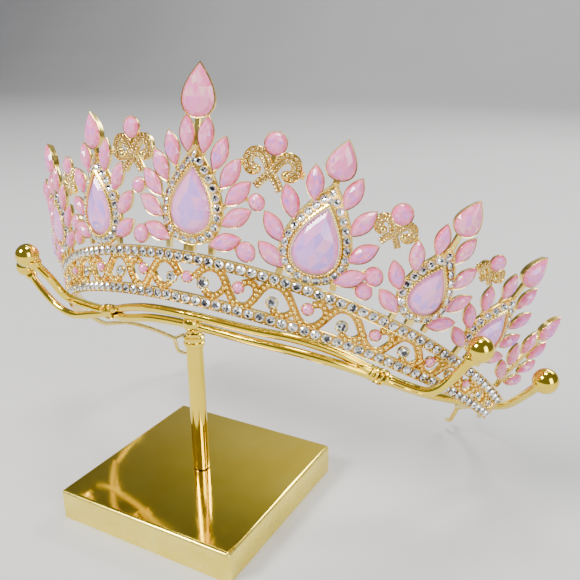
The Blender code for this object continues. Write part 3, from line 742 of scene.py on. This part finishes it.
# Sections of the rows, the vine and the end plates, as sideways and out
RAIL_PROFILE = [
    (-1.6, -0.7), (-1.45, -0.8), (1.45, -0.8), (1.6, -0.7), (1.62, 0.72), (1.53, 0.86), (1.4, 0.82),
    (1.3, 0.3), (-1.3, 0.3), (-1.4, 0.82), (-1.53, 0.86), (-1.62, 0.72),
]
VINE_PROFILE = [
    (-1.05, -0.4), (1.05, -0.4), (1.12, 0.5), (1.03, 0.68), (0.90, 0.25), (-0.90, 0.25), (-1.03, 0.68),
    (-1.12, 0.5),
]
END_PLATE_PROFILE = [(-1.0, -0.7), (1.0, -0.7), (1.0, 0.5), (0.8, 0.65), (-0.8, 0.65), (-1.0, 0.5)]
# Heights of the groove floors
RAIL_GROOVE = 0.3
VINE_GROOVE = 0.25
# Curls from a pink and from a clear stone, measured outwards and up from the stone
CURLS = {
    "pink": [(0.9, 1.5), (2.6, 2.3), (4.3, 1.6), (5.0, -0.4), (4.3, -2.5)],
    "clear": [(0.5, -1.6), (1.9, -2.7), (3.9, -2.7), (5.6, -1.2), (6.5, 0.6)],
}
# Tail wire: degrees round the band, height, and distance in from the band's circle
TAIL = [
    (77.0, 0.4, -1.0), (83.1, 0.3, -4.4), (88.3, 2.8, -5.2), (94.0, 5.6, -6.7), (103.3, 7.5, -9.4),
    (113.7, 7.9, -11.6),
]
TAIL_RADIUS = 0.9
# Hooks at the end of a tail, measured along it and upwards
UPPER_HOOK = [(-1.0, 0.0), (2.4, 2.6), (5.4, 4.2)]
LOWER_HOOK = [(-1.0, 0.0), (1.4, -3.0), (3.4, -4.7), (7.2, -4.4)]


def vine_level(turn):
    # Low beside each pink stone, with a round arch over the clear stone between two of them
    along = abs(turn)
    arch = WAVE_STARTS[1] * 0.46
    if along < arch:
        share = (along - VINE_START) / (arch - VINE_START)
        return 0.56 + 0.32 * math.sin(share * math.pi / 2.0)
    for low, high in zip(WAVE_STARTS, WAVE_STARTS[1:]):
        if along <= high:
            share = (along - low) / (high - low)
            late = 0.5 * LOW_TURN_DELAY * (1.0 + math.cos(2.0 * math.pi * share))
            wave = 0.5 - 0.5 * math.cos(2.0 * math.pi * (share - late))
            return VINE_LOW + VINE_LIFT * (0.4 * wave + 0.6 * wave * wave * (3.0 - 2.0 * wave))
    return VINE_LOW


def arc_spot(turn, share):
    phi = math.radians(turn)
    return Vector((phi * ARC_RADIUS, band_height(phi) * share, 0.0))


def upright(spot, along, out):
    # Place on the flat pattern with its X axis along a direction
    across = Vector((-along.y, along.x, 0.0)).normalized()
    forward = Vector((along.x, along.y, 0.0)).normalized()
    return placed(forward, across, UP, (spot.x, spot.y, out))


def row_places(level, out):
    # Even steps along a row, measured round the band at the row's own height
    places = []
    between = []
    for side in (1.0, -1.0):
        phi = 0.0
        step = 0
        while phi < BAND_END - 0.012:
            rise = 0.0 if level == "lower" else band_height(phi)
            if side > 0.0 or step > 0:
                places.append(cone_matrix(phi * side, rise, out))
            half = ROW_PITCH / 2.0 / (ARC_RADIUS + rise * math.sin(CONE_SLOPE))
            middle = (phi + half) * side
            for edge in (-1.28, 1.28):
                between.append(cone_matrix(middle, rise + edge, out + 0.18))
            phi += 2.0 * half
            step += 1
    return places, between


def curl_path(turn, share, tint):
    # A small curl from one stone of the frieze to the wave on its outer side
    centre = arc_spot(turn, share)
    spacing = 1.0 if abs(turn) < 50.0 else 0.84
    away = spacing if turn > 0.0 else -spacing
    line = [Vector((centre.x + x * away, centre.y + y * spacing, 0.0)) for x, y in CURLS[tint]]
    return smooth_path(line, 6)


def tail_rods(side):
    path = []
    for turn, rise, inward in TAIL:
        phi = math.radians(turn) * side
        radial = Vector((math.sin(phi), -math.cos(phi), 0.0))
        path.append(Vector((0.0, ARC_RADIUS, rise)) + radial * (ARC_RADIUS + inward))
    line = smooth_path(path, 6)
    along = (line[-1] - line[-2]).normalized()
    rods = [rod(line, TAIL_RADIUS, 12)]
    for hook in (UPPER_HOOK, LOWER_HOOK):
        bend = [path[-1] + along * ahead + UP * rise for ahead, rise in hook]
        rods.append(rod(smooth_path(bend, 4), TAIL_RADIUS - 0.05, 12))
    return rods


def add_frieze(metal):
    # Vine, curls, stone cups and claws of the frieze in the flat; gives the stones' places by tint
    bead = cast(ball(0.60, 8, 6))
    beads = []
    for side in (1.0, -1.0):
        turns = [VINE_START + (VINE_END - VINE_START) * k / VINE_STEPS for k in range(VINE_STEPS + 1)]
        vine = [arc_spot(turn * side, vine_level(turn)) for turn in turns]
        metal.add(strip(vine, VINE_PROFILE), groove=VINE_GROOVE)
        beads += [upright(spot, along, 0.42) for spot, along in evenly(vine, VINE_BEAD_PITCH)]
    narrow = [(side * 0.86, out) for side, out in VINE_PROFILE]
    stones = {"pink": [], "clear": []}
    for turn, share, tint in FRIEZE_STONES:
        for side in (1.0, -1.0):
            if turn == 0.0 and side < 0.0:
                continue
            size = 1.0 if turn < 60.0 else 0.8
            spot = arc_spot(turn * side, share)
            stones[tint].append(Matrix.Translation(spot) @ Matrix.Scale(size, 4))
            if turn == 0.0:
                # The middle stone is held from both sides
                link = Vector((1.9, 0.0, 0.0))
                metal.add(rod([spot - link, spot + link], 0.5, 8))
            elif turn == VINE_END:
                # The last stone hangs from the upper row
                hung = Vector((spot.x, band_height(math.radians(turn)) - 1.2, 0.0))
                metal.add(rod([hung, spot], 0.5, 8))
            else:
                curl = curl_path(turn * side, share, tint)
                metal.add(strip(curl, narrow), groove=VINE_GROOVE)
                beads += [upright(at, along, 0.42) for at, along in evenly(curl, CURL_BEAD_PITCH)]
    both = stones["pink"] + stones["clear"]
    metal.add(cast(cup(round_outline(FRIEZE_CUP, 24), -0.5, 0.45)), both)
    claws = []
    for place in both:
        for k in range(4):
            t = math.radians(45.0 + 90.0 * k)
            claws.append(place @ Matrix.Translation((math.cos(t) * 1.55, math.sin(t) * 1.55, 0.75)))
    metal.add(bead, beads)
    metal.add(cast(ball(0.34, 8, 6)), claws)
    return stones


def build_band(gold, clear, opal):
    metal = Gathering()
    reach = math.degrees(BAND_END)
    turns = [-reach + 2.0 * reach * k / BAND_STEPS for k in range(BAND_STEPS + 1)]
    for share in (0.0, 1.0):
        metal.add(strip([arc_spot(turn, share) for turn in turns], RAIL_PROFILE), groove=RAIL_GROOVE)
    stones = add_frieze(metal)
    for side in (1.0, -1.0):
        foot = Vector((END_PLATE_TURN * side * ARC_RADIUS, 0.0, 0.0))
        head = foot + Vector((0.0, band_height(END_PLATE_TURN), 0.0))
        metal.add(strip([foot, head], END_PLATE_PROFILE))
    metal.bend(0.0, False)
    gems = Gathering()
    prong = cast(ball(0.3, 8, 6))
    row_stone = cast(brilliant(ROW_STONE))
    for level in ("lower", "upper"):
        places, between = row_places(level, 0.62)
        gems.add(row_stone, places)
        metal.add(prong, between)
    for side in (1.0, -1.0):
        for shape in tail_rods(side):
            metal.add(shape)
    frieze = Gathering()
    raised = [place @ Matrix.Translation((0.0, 0.0, 0.5)) for place in stones["clear"]]
    frieze.add(cast(brilliant(FRIEZE_STONE)), raised)
    frieze.bend(0.0, False)
    gems.take(frieze)
    pinks = Gathering()
    pinks.add(cast(opal_round(FRIEZE_STONE, 0.45, 1.35)), stones["pink"])
    pinks.bend(0.0, False)
    metal.piece("band_metal", gold, "tiara_band")
    gems.piece("band_clear_stones", [clear], smooth=False)
    pinks.piece("band_pink_stones", [opal], smooth=False)


# Drops. Leaf stones are listed as sideways, rise and outward tilt in degrees.
LEAVES = {
    "centre": [(2.9, 45.2, 6.0), (7.4, 40.9, 18.0), (10.9, 36.2, 30.0), (13.4, 31.4, 42.0),
               (13.5, 25.0, 55.0), (10.8, 17.9, 68.0)],
    "first": [(5.1, 39.0, 14.0), (9.9, 32.7, 30.0), (12.3, 25.2, 45.0), (11.0, 17.8, 58.0)],
    "second": [(3.7, 36.6, 12.0), (7.8, 30.0, 24.0), (10.2, 23.2, 38.0), (8.6, 15.9, 60.0)],
    "third": [(4.1, 34.2, 12.0), (8.0, 28.2, 26.0), (9.6, 21.6, 38.0), (8.2, 14.9, 60.0)],
    "end": [(3.4, 24.8, 14.0), (5.6, 19.2, 32.0), (5.0, 13.4, 50.0)],
}
LEAF_SIZE = {"centre": 1.0, "first": 0.97, "second": 0.9, "third": 0.82, "end": 0.8}
LEAF_LIFT = 0.02
# Each drop: place in degrees, then width, height and middle of stone, ring and finial
Drop = namedtuple("Drop", "turn stone_width stone_height stone_rise ring_width ring_height ring_rise "
                          "finial_width finial_height finial_rise")
DROPS = {
    "centre": Drop(0.0, 12.4, 18.0, 27.6, 18.2, 26.0, 28.8, 10.2, 14.2, 56.4),
    "first": Drop(21.9, 12.4, 17.8, 24.8, 18.4, 26.6, 26.4, 7.9, 10.6, 46.5),
    "second": Drop(42.0, 9.8, 14.0, 22.8, 14.8, 21.8, 24.4, 7.7, 10.4, 44.8),
    "third": Drop(57.6, 8.8, 12.8, 21.2, 13.2, 20.0, 22.4, 7.0, 9.8, 41.8),
}
# Round stones beside a drop: sideways, rise and width
CENTRE_ROUNDS = [(18.8, 30.3, 4.6), (16.9, 16.6, 5.6)]
FIRST_ROUNDS = [(16.9, 20.6, 5.3), (15.6, 15.9, 4.9)]
ROUND_LINK = 3.4
# Section of the ring round a large stone: share of the way in, and height
RING_SECTION = [
    (-0.15, -0.7), (-0.20, -0.3), (-0.20, 0.35), (-0.15, 0.62), (-0.09, 0.55), (-0.02, 0.42), (0.76, 1.25),
    (0.84, 1.62), (0.92, 1.72), (1.0, 1.5), (1.0, -0.7),
]
RING_GROOVE = 0.835


def side_name(side):
    return {1.0: "_right", -1.0: "_left", 0.0: ""}[side]


def between_outlines(outer, inner, share, out):
    return [Vector((*a.lerp(b, share).xy, out)) for a, b in zip(outer, inner)]


def leaf_place(x, y, tilt, lift=0.0):
    return Matrix.Translation((x, y, lift)) @ Matrix.Rotation(-math.radians(tilt), 4, "Z")


def foot_of(spot, tilt, half_length, middle_line):
    # Where a leaf's stub reaches the middle of the ring, going in along its own axis
    axis = Vector((math.sin(math.radians(tilt)), math.cos(math.radians(tilt)), 0.0))
    tries = [spot - axis * (half_length + step * 0.5) for step in range(17)]
    misses = [min((p - trial).length for p in middle_line) for trial in tries]
    best = min(range(len(tries)), key=lambda k: misses[k])
    nearest = min(middle_line, key=lambda p: (p - tries[best]).length)
    return tries[best] if misses[best] < 0.8 else tries[best].lerp(nearest, 0.7)


def round_setting(metal, opals, x, y, width, back, girdle, front):
    place = [Matrix.Translation((x, y, 0.0))]
    metal.add(cup(round_outline(width, 24), back, girdle), place)
    opals.add(opal_round(width * OPAL_WIDE, girdle, front), place)


def block(low, high, half, back, front):
    # Upright bar with softened front edges
    soft = min(half, front - back) * 0.25
    profile = [(-half, back), (half, back), (half, front - soft), (half - soft, front),
               (soft - half, front), (-half, front - soft)]
    return strip([Vector((0.0, low, 0.0)), Vector((0.0, high, 0.0))], profile)


def ring_outlines(drop, count):
    outer = pear_outline(drop.ring_width, drop.ring_height, count, drop.ring_rise)
    inner = pear_outline(drop.stone_width + 0.35, drop.stone_height + 0.5, count, drop.stone_rise + 0.1)
    return outer, inner


def level_way(spot, outline):
    # Level direction and distance from a spot to the nearest point of an outline
    way = min(outline, key=lambda p: (p.xy - spot.xy).length_squared) - spot
    way.z = 0.0
    return way.normalized(), way.length


def add_ring(drop, metal, pave):
    # Sloped ring with small clear stones round the large one, and fine beads on both sides of them
    outer, inner = ring_outlines(drop, 72)
    sections = [between_outlines(outer, inner, share, out) for share, out in RING_SECTION]
    metal.add(drawn_through(sections, True), groove=RING_GROOVE)
    fine_outer, fine_inner = ring_outlines(drop, 360)
    middle = between_outlines(fine_outer, fine_inner, 0.33, 0.88)
    seats = []
    for spot, along in evenly(middle, RING_PITCH, True):
        inward, reach = level_way(spot, fine_inner)
        slope = (inward + UP * 0.5).normalized()
        face = along.cross(slope)
        if face.z < 0.0:
            face.negate()
        seats.append(placed(slope.cross(face), slope, face, spot + face * 0.1))
    beads = []
    for spot, along in evenly(middle, RING_PITCH / 2.0, True)[1::2]:
        inward, reach = level_way(spot, fine_inner)
        beads.append(Matrix.Translation(spot + inward * reach * 0.42 + UP * 0.45))
        beads.append(Matrix.Translation(spot - inward * reach * 0.5 - UP * 0.25))
    # One more stone fills the point of the ring
    point = outer[0].lerp(inner[0], 0.72)
    seats.append(Matrix.Translation((point.x, point.y, 1.25)) @ Matrix.Scale(0.85, 4))
    pave.add(cast(brilliant(RING_STONE)), seats)
    metal.add(cast(ball(0.38, 8, 6)), beads)
    rim = evenly(between_outlines(fine_outer, fine_inner, 0.90, 1.70), RIM_BEAD_PITCH, True)
    metal.add(cast(ball(0.36, 8, 6)), [Matrix.Translation(spot) for spot, along in rim])


def add_leaves(kind, metal, opals, back, stub):
    # Leaf stones in their trays, each a hair further out than the leaf above it, with a stub of wire
    size = LEAF_SIZE[kind]
    leaf_cup = cast(cup(leaf_outline(LEAF_WIDTH * size, LEAF_LENGTH * size, 24), back, 0.5))
    leaf_stone = cast(opal_leaf(size))
    for number, (x, y, tilt) in enumerate(LEAVES[kind]):
        for hand in (1.0, -1.0):
            place = [leaf_place(x * hand, y, tilt * hand, LEAF_LIFT * (2.0 * number + hand))]
            metal.add(leaf_cup, place)
            opals.add(leaf_stone, place)
            metal.add(stub(Vector((x * hand, y, 0.0)), tilt * hand))


def add_finial(drop, metal, opals):
    # Pear stone on a stalk that rises from the ring
    place = [Matrix.Translation((0.0, drop.finial_rise, 0.0))]
    outline = pear_outline(drop.finial_width, drop.finial_height, 32)
    metal.add(cup(outline, -1.1, 0.9, PEAR_PIVOT * drop.finial_height), place)
    width = drop.finial_width * OPAL_WIDE
    height = drop.finial_height * OPAL_LONG
    opals.add(opal_pear(width, height, -0.3, 0.9, 2.6), place)
    ring_top = drop.ring_rise + drop.ring_height / 2.0
    metal.add(block(ring_top - 2.2, drop.finial_rise - drop.finial_height / 2.0 + 1.6, 0.9, -0.5, 0.4))


def add_tabs(kind, phi, metal):
    # Tabs that stand on the upper row, under the ring and under the two lowest leaves
    drop = DROPS[kind]
    foot = row_top(phi)
    ring_foot = drop.ring_rise - drop.ring_height / 2.0
    if ring_foot - foot > 0.3:
        metal.add(block(foot, ring_foot + 1.6, 1.9 if kind == "centre" else 1.3, -0.5, 0.6))
    x, y, tilt = LEAVES[kind][-1]
    reach = LEAF_LENGTH * LEAF_SIZE[kind] * 0.42
    tab_x = x - math.sin(math.radians(tilt)) * reach
    tab_top = y - math.cos(math.radians(tilt)) * reach + 0.3
    for hand in (1.0, -1.0):
        metal.add(block(foot, tab_top, 0.95, -0.5, 0.5), [Matrix.Translation((tab_x * hand, 0.0, 0.0))])


def rounds_beside(kind, side):
    if kind == "centre":
        return [(x * hand, y, width) for x, y, width in CENTRE_ROUNDS for hand in (1.0, -1.0)]
    if kind == "first":
        return [(x * side, y, width) for x, y, width in FIRST_ROUNDS]
    return []


def build_drop(kind, side, gold, clear, opal, large_opal):
    drop = DROPS[kind]
    phi = math.radians(drop.turn) * side
    metal = Gathering()
    pave = Gathering()
    opals = Gathering()
    add_ring(drop, metal, pave)
    middle_line = between_outlines(*ring_outlines(drop, 72), 0.45, 0.0)

    def stub(spot, tilt):
        # From the middle of the ring half way to the leaf, a little behind it
        foot = foot_of(spot, tilt, LEAF_LENGTH * LEAF_SIZE[kind] / 2.0, middle_line)
        return rod([foot - UP * 0.1, foot.lerp(spot, 0.5) - UP * 0.1], 0.62, 10)

    add_leaves(kind, metal, opals, -0.6, stub)
    add_finial(drop, metal, opals)
    add_tabs(kind, phi, metal)
    for x, y, width in rounds_beside(kind, side):
        round_setting(metal, opals, x, y, width, -0.7, 0.6, 1.7)
        inward = ROUND_LINK if x < 0.0 else -ROUND_LINK
        metal.add(rod([Vector((x + inward, y, -0.2)), Vector((x, y, -0.2))], 0.6, 10))
    name = kind + side_name(side)
    for parts in (metal, pave, opals):
        parts.bend(phi)
    metal.piece("drop_metal_" + name, gold, "drop_setting_" + name)
    pave.piece("drop_clear_stones_" + name, [clear], smooth=False)
    opals.piece("drop_leaf_stones_" + name, [opal], smooth=False)
    large = Gathering()
    large.add(opal_pear(drop.stone_width, drop.stone_height, -2.0, 1.0, 3.0))
    large.piece("large_pear_" + name, [large_opal], "drop_stone_" + name, smooth=False,
                place=TIARA_PLACE @ cone_matrix(phi, drop.stone_rise))


# Scrolls between the drops: place, height of the top stone, its width and the size
SCROLLS = {
    "first": (12.3, 46.2, 6.2, 0.98),
    "second": (32.5, 38.6, 6.0, 0.72),
    "third": (50.3, 38.0, 4.9, 0.52),
}
# One arm of a scroll of size 1, measured from the middle of the top stone
SCROLL_ARM = [
    (-3.5, -12.1), (-1.9, -9.8), (0.2, -7.6), (1.6, -5.0), (3.6, -3.0), (5.9, -3.4), (6.8, -5.6),
    (5.8, -7.6), (4.1, -7.6),
]
# Cluster of beads outside each arm
CLUSTER_SPOT = (8.2, -6.4)
CLUSTER_BEADS = 5


def scroll_profile(half):
    # Shallow channel with a thin raised edge on each side
    return [(-half, -0.5), (half, -0.5), (half, 0.55), (half - 0.12, 0.72), (half - 0.25, 0.4),
            (0.25 - half, 0.4), (0.12 - half, 0.72), (-half, 0.55)]


def build_scroll(kind, side, gold, champagne, opal):
    turn, rise, width, size = SCROLLS[kind]
    phi = math.radians(turn) * side
    metal = Gathering()
    pave = Gathering()
    opals = Gathering()
    half = 0.45 + 0.74 * size
    grain = cast(brilliant(half * 0.82))
    pin = cast(ball(0.2, 6, 4))
    star = cast(ball(0.5, 8, 6))
    knob = cast(ball(0.55 + 0.75 * size, 16, 10))
    for hand in (1.0, -1.0):
        line = [Vector((x * hand * size, rise + y * size, 0.04 * hand)) for x, y in SCROLL_ARM]
        path = smooth_path(line, 8)
        last = len(path) - 1
        widths = [0.85 + 0.4 * min(1.0, 1.6 * i / last) for i in range(last + 1)]
        metal.add(strip(path, scroll_profile(half), widths), groove=0.4 + 0.04 * hand)
        metal.add(knob, [Matrix.Translation(path[-1])])
        places = []
        pins = []
        for spot, along in evenly(path, half * 0.84):
            across = Vector((along.y, -along.x, 0.0)).normalized()
            for row in (-0.55, 0.55):
                places.append(upright(spot + across * half * row, along, 0.55))
            pins.append(upright(spot + along * half * 0.42, along, 0.62))
        pave.add(grain, places)
        metal.add(pin, pins)
        x, y = CLUSTER_SPOT
        tip = Vector((x * hand * size, rise + y * size, 0.1))
        cluster = [Matrix.Translation(tip)]
        for k in range(CLUSTER_BEADS):
            t = 2.0 * math.pi * k / CLUSTER_BEADS + 0.3
            cluster.append(Matrix.Translation(tip + Vector((math.cos(t), math.sin(t), 0.0)) * 0.8))
        metal.add(star, cluster)
    round_setting(metal, opals, 0.0, rise, width, -0.35, 0.6, 1.8)
    metal.add(block(rise - 7.4 * size, rise, 0.7, -0.4, 0.4))
    name = kind + side_name(side)
    for parts in (metal, pave, opals):
        parts.bend(phi)
    metal.piece("scroll_metal_" + name, gold, "scroll_" + name)
    pave.piece("scroll_fine_stones_" + name, [champagne], smooth=False)
    opals.piece("scroll_round_stone_" + name, [opal], smooth=False)


# Fans at the ends of the band: place, and width, height and middle of the stone at the top
FAN_TURN = math.radians(71.0)
FAN_STONE = (6.4, 9.0, 32.4)


def fan_stub(spot, tilt):
    # From the fan's stem, a little beyond its middle, up to the leaf
    return rod([Vector((-math.copysign(0.3, spot.x), spot.y - 2.5, 0.0)), spot], 0.6, 10)


def build_end_fan(side, gold, opal):
    phi = FAN_TURN * side
    width, height, rise = FAN_STONE
    metal = Gathering()
    opals = Gathering()
    metal.add(block(row_top(phi), 30.0, 1.1, -0.5, 0.4))
    place = [Matrix.Translation((0.0, rise, 0.0))]
    metal.add(cup(pear_outline(width, height, 32), -1.0, 0.8, -1.2), place)
    opals.add(opal_pear(width - 0.1, height - 0.2, -0.2, 0.8, 2.3), place)
    add_leaves("end", metal, opals, -0.4, fan_stub)
    for parts in (metal, opals):
        parts.bend(phi)
    name = side_name(side)
    metal.piece("end_fan_metal" + name, gold, "end_fan" + name)
    opals.piece("end_fan_stones" + name, [opal], smooth=False)


# Floor, light and camera in metres, with the camera's sensor and lens in millimetres

FLOOR_HALF_WIDTH = 5.0
FLOOR_FRONT = -4.0
FLOOR_BEND_START = 1.6
FLOOR_BEND_RADIUS = 0.8
BACKDROP_TOP = 4.0
TIARA_MIDDLE = (0.0, 0.0, 0.08)
# Lights: spot, aim, width and height, power and colour
LIGHTS = {
    "key": ((-0.55, -0.75, 0.95), TIARA_MIDDLE, (0.4, 0.4), 25.0, (1.0, 0.98, 0.95)),
    "fill": ((0.95, -0.45, 0.45), TIARA_MIDDLE, (0.5, 0.8), 9.0, (0.95, 0.97, 1.0)),
    "rim": ((0.35, 0.95, 0.85), TIARA_MIDDLE, (0.8, 0.3), 11.0, (1.0, 0.99, 0.97)),
    "top": ((0.0, 0.05, 1.1), TIARA_MIDDLE, (0.3, 0.3), 6.0, (1.0, 1.0, 1.0)),
    "backdrop": ((-0.3, 0.9, 1.9), (-0.5, 2.4, 0.7), (1.6, 0.4), 24.0, (1.0, 1.0, 1.0)),
}
ROOM_COLOUR = (0.80, 0.83, 0.90, 1.0)
ROOM_STRENGTH = 0.25
# Camera: turned to the left of the tiara's front, looking down, and hardly rolled
CAMERA_TURN = math.radians(29.1)
CAMERA_DOWN = math.radians(19.37)
CAMERA_ROLL = math.radians(-0.6)
CAMERA_SPOT = (0.1263, -0.1640, 0.1452)
SENSOR_WIDTH = 36.0
LENS = 43.45


def build_floor():
    # Pale floor that runs up into a backdrop behind the object
    bm = bmesh.new()
    profile = [(FLOOR_FRONT, 0.0), (FLOOR_BEND_START, 0.0)]
    for k in range(1, 9):
        t = math.radians(90.0 * k / 8.0)
        y = FLOOR_BEND_START + FLOOR_BEND_RADIUS * math.sin(t)
        profile.append((y, FLOOR_BEND_RADIUS * (1.0 - math.cos(t))))
    profile.append((FLOOR_BEND_START + FLOOR_BEND_RADIUS, BACKDROP_TOP))
    line = [bm.verts.new((-FLOOR_HALF_WIDTH, y, z)) for y, z in profile]
    edges = [bm.edges.new(pair) for pair in zip(line, line[1:])]
    made = bmesh.ops.extrude_edge_only(bm, edges=edges)["geom"]
    fresh = [v for v in made if isinstance(v, bmesh.types.BMVert)]
    bmesh.ops.translate(bm, verts=fresh, vec=(2.0 * FLOOR_HALF_WIDTH, 0.0, 0.0))
    bmesh.ops.recalc_face_normals(bm, faces=bm.faces)
    flat = max(bm.faces, key=lambda f: f.calc_area())
    if flat.normal.z < 0.0:
        bmesh.ops.reverse_faces(bm, faces=bm.faces)
    mesh = bpy.data.meshes.new("floor")
    bm.to_mesh(mesh)
    bm.free()
    mesh.polygons.foreach_set("use_smooth", [True] * len(mesh.polygons))
    mesh.materials.append(floor_finish())
    floor = bpy.data.objects.new("floor", mesh)
    bpy.context.scene.collection.objects.link(floor)


def add_light(name):
    spot, aim, size, power, colour = LIGHTS[name]
    data = bpy.data.lights.new(name, "AREA")
    data.shape = "RECTANGLE"
    data.size = size[0]
    data.size_y = size[1]
    data.energy = power
    data.color = colour
    lamp = bpy.data.objects.new(name, data)
    lamp.location = spot
    lamp.rotation_euler = (Vector(aim) - Vector(spot)).to_track_quat("-Z", "Y").to_euler()
    bpy.context.scene.collection.objects.link(lamp)


def build_light():
    world = bpy.data.worlds.new("studio")
    world.use_nodes = True
    backing = world.node_tree.nodes["Background"]
    backing.inputs["Color"].default_value = ROOM_COLOUR
    backing.inputs["Strength"].default_value = ROOM_STRENGTH
    bpy.context.scene.world = world
    for name in LIGHTS:
        add_light(name)


def build_camera():
    turn = CAMERA_TURN
    down = CAMERA_DOWN
    roll = CAMERA_ROLL
    forward = Vector((-math.sin(turn) * math.cos(down), math.cos(turn) * math.cos(down), -math.sin(down)))
    level = Vector((math.cos(turn), math.sin(turn), 0.0))
    upward = level.cross(forward)
    right = level * math.cos(roll) + upward * math.sin(roll)
    up = upward * math.cos(roll) - level * math.sin(roll)
    data = bpy.data.cameras.new("camera")
    data.sensor_width = SENSOR_WIDTH
    data.lens = LENS
    data.clip_start = 0.01
    data.clip_end = 30.0
    camera = bpy.data.objects.new("camera", data)
    camera.matrix_world = placed(right, up, -forward, CAMERA_SPOT)
    bpy.context.scene.collection.objects.link(camera)
    bpy.context.scene.camera = camera


def main():
    tiara_golds = [gold_finish("tiara_gold_plate"), gold_finish("tiara_gold_painted_groove_shade")]
    stand_gold = gold_finish("stand_polished_gold")
    satin_gold = gold_finish("stand_satin_gold")
    clear = painted_glint_finish("clear_rhinestone_painted_glints", *CLEAR_PAINTED_GLINT_TONES)
    champagne = painted_glint_finish("champagne_rhinestone_painted_glints", *CHAMPAGNE_PAINTED_GLINT_TONES)
    opal = opal_finish("pink_opal_glass", SMALL_RIM, SMALL_HEART)
    large_opal = opal_finish("large_pink_opal_glass", LARGE_RIM, LARGE_HEART)
    build_stand_plate(stand_gold, satin_gold)
    build_stand_post(stand_gold)
    build_cradle(stand_gold)
    build_band(tiara_golds, clear, opal)
    for kind in DROPS:
        for side in ((0.0,) if kind == "centre" else (1.0, -1.0)):
            build_drop(kind, side, tiara_golds, clear, opal, large_opal)
    for side in (1.0, -1.0):
        for kind in SCROLLS:
            build_scroll(kind, side, tiara_golds, champagne, opal)
        build_end_fan(side, tiara_golds, opal)
    build_floor()
    build_light()
    build_camera()


main()
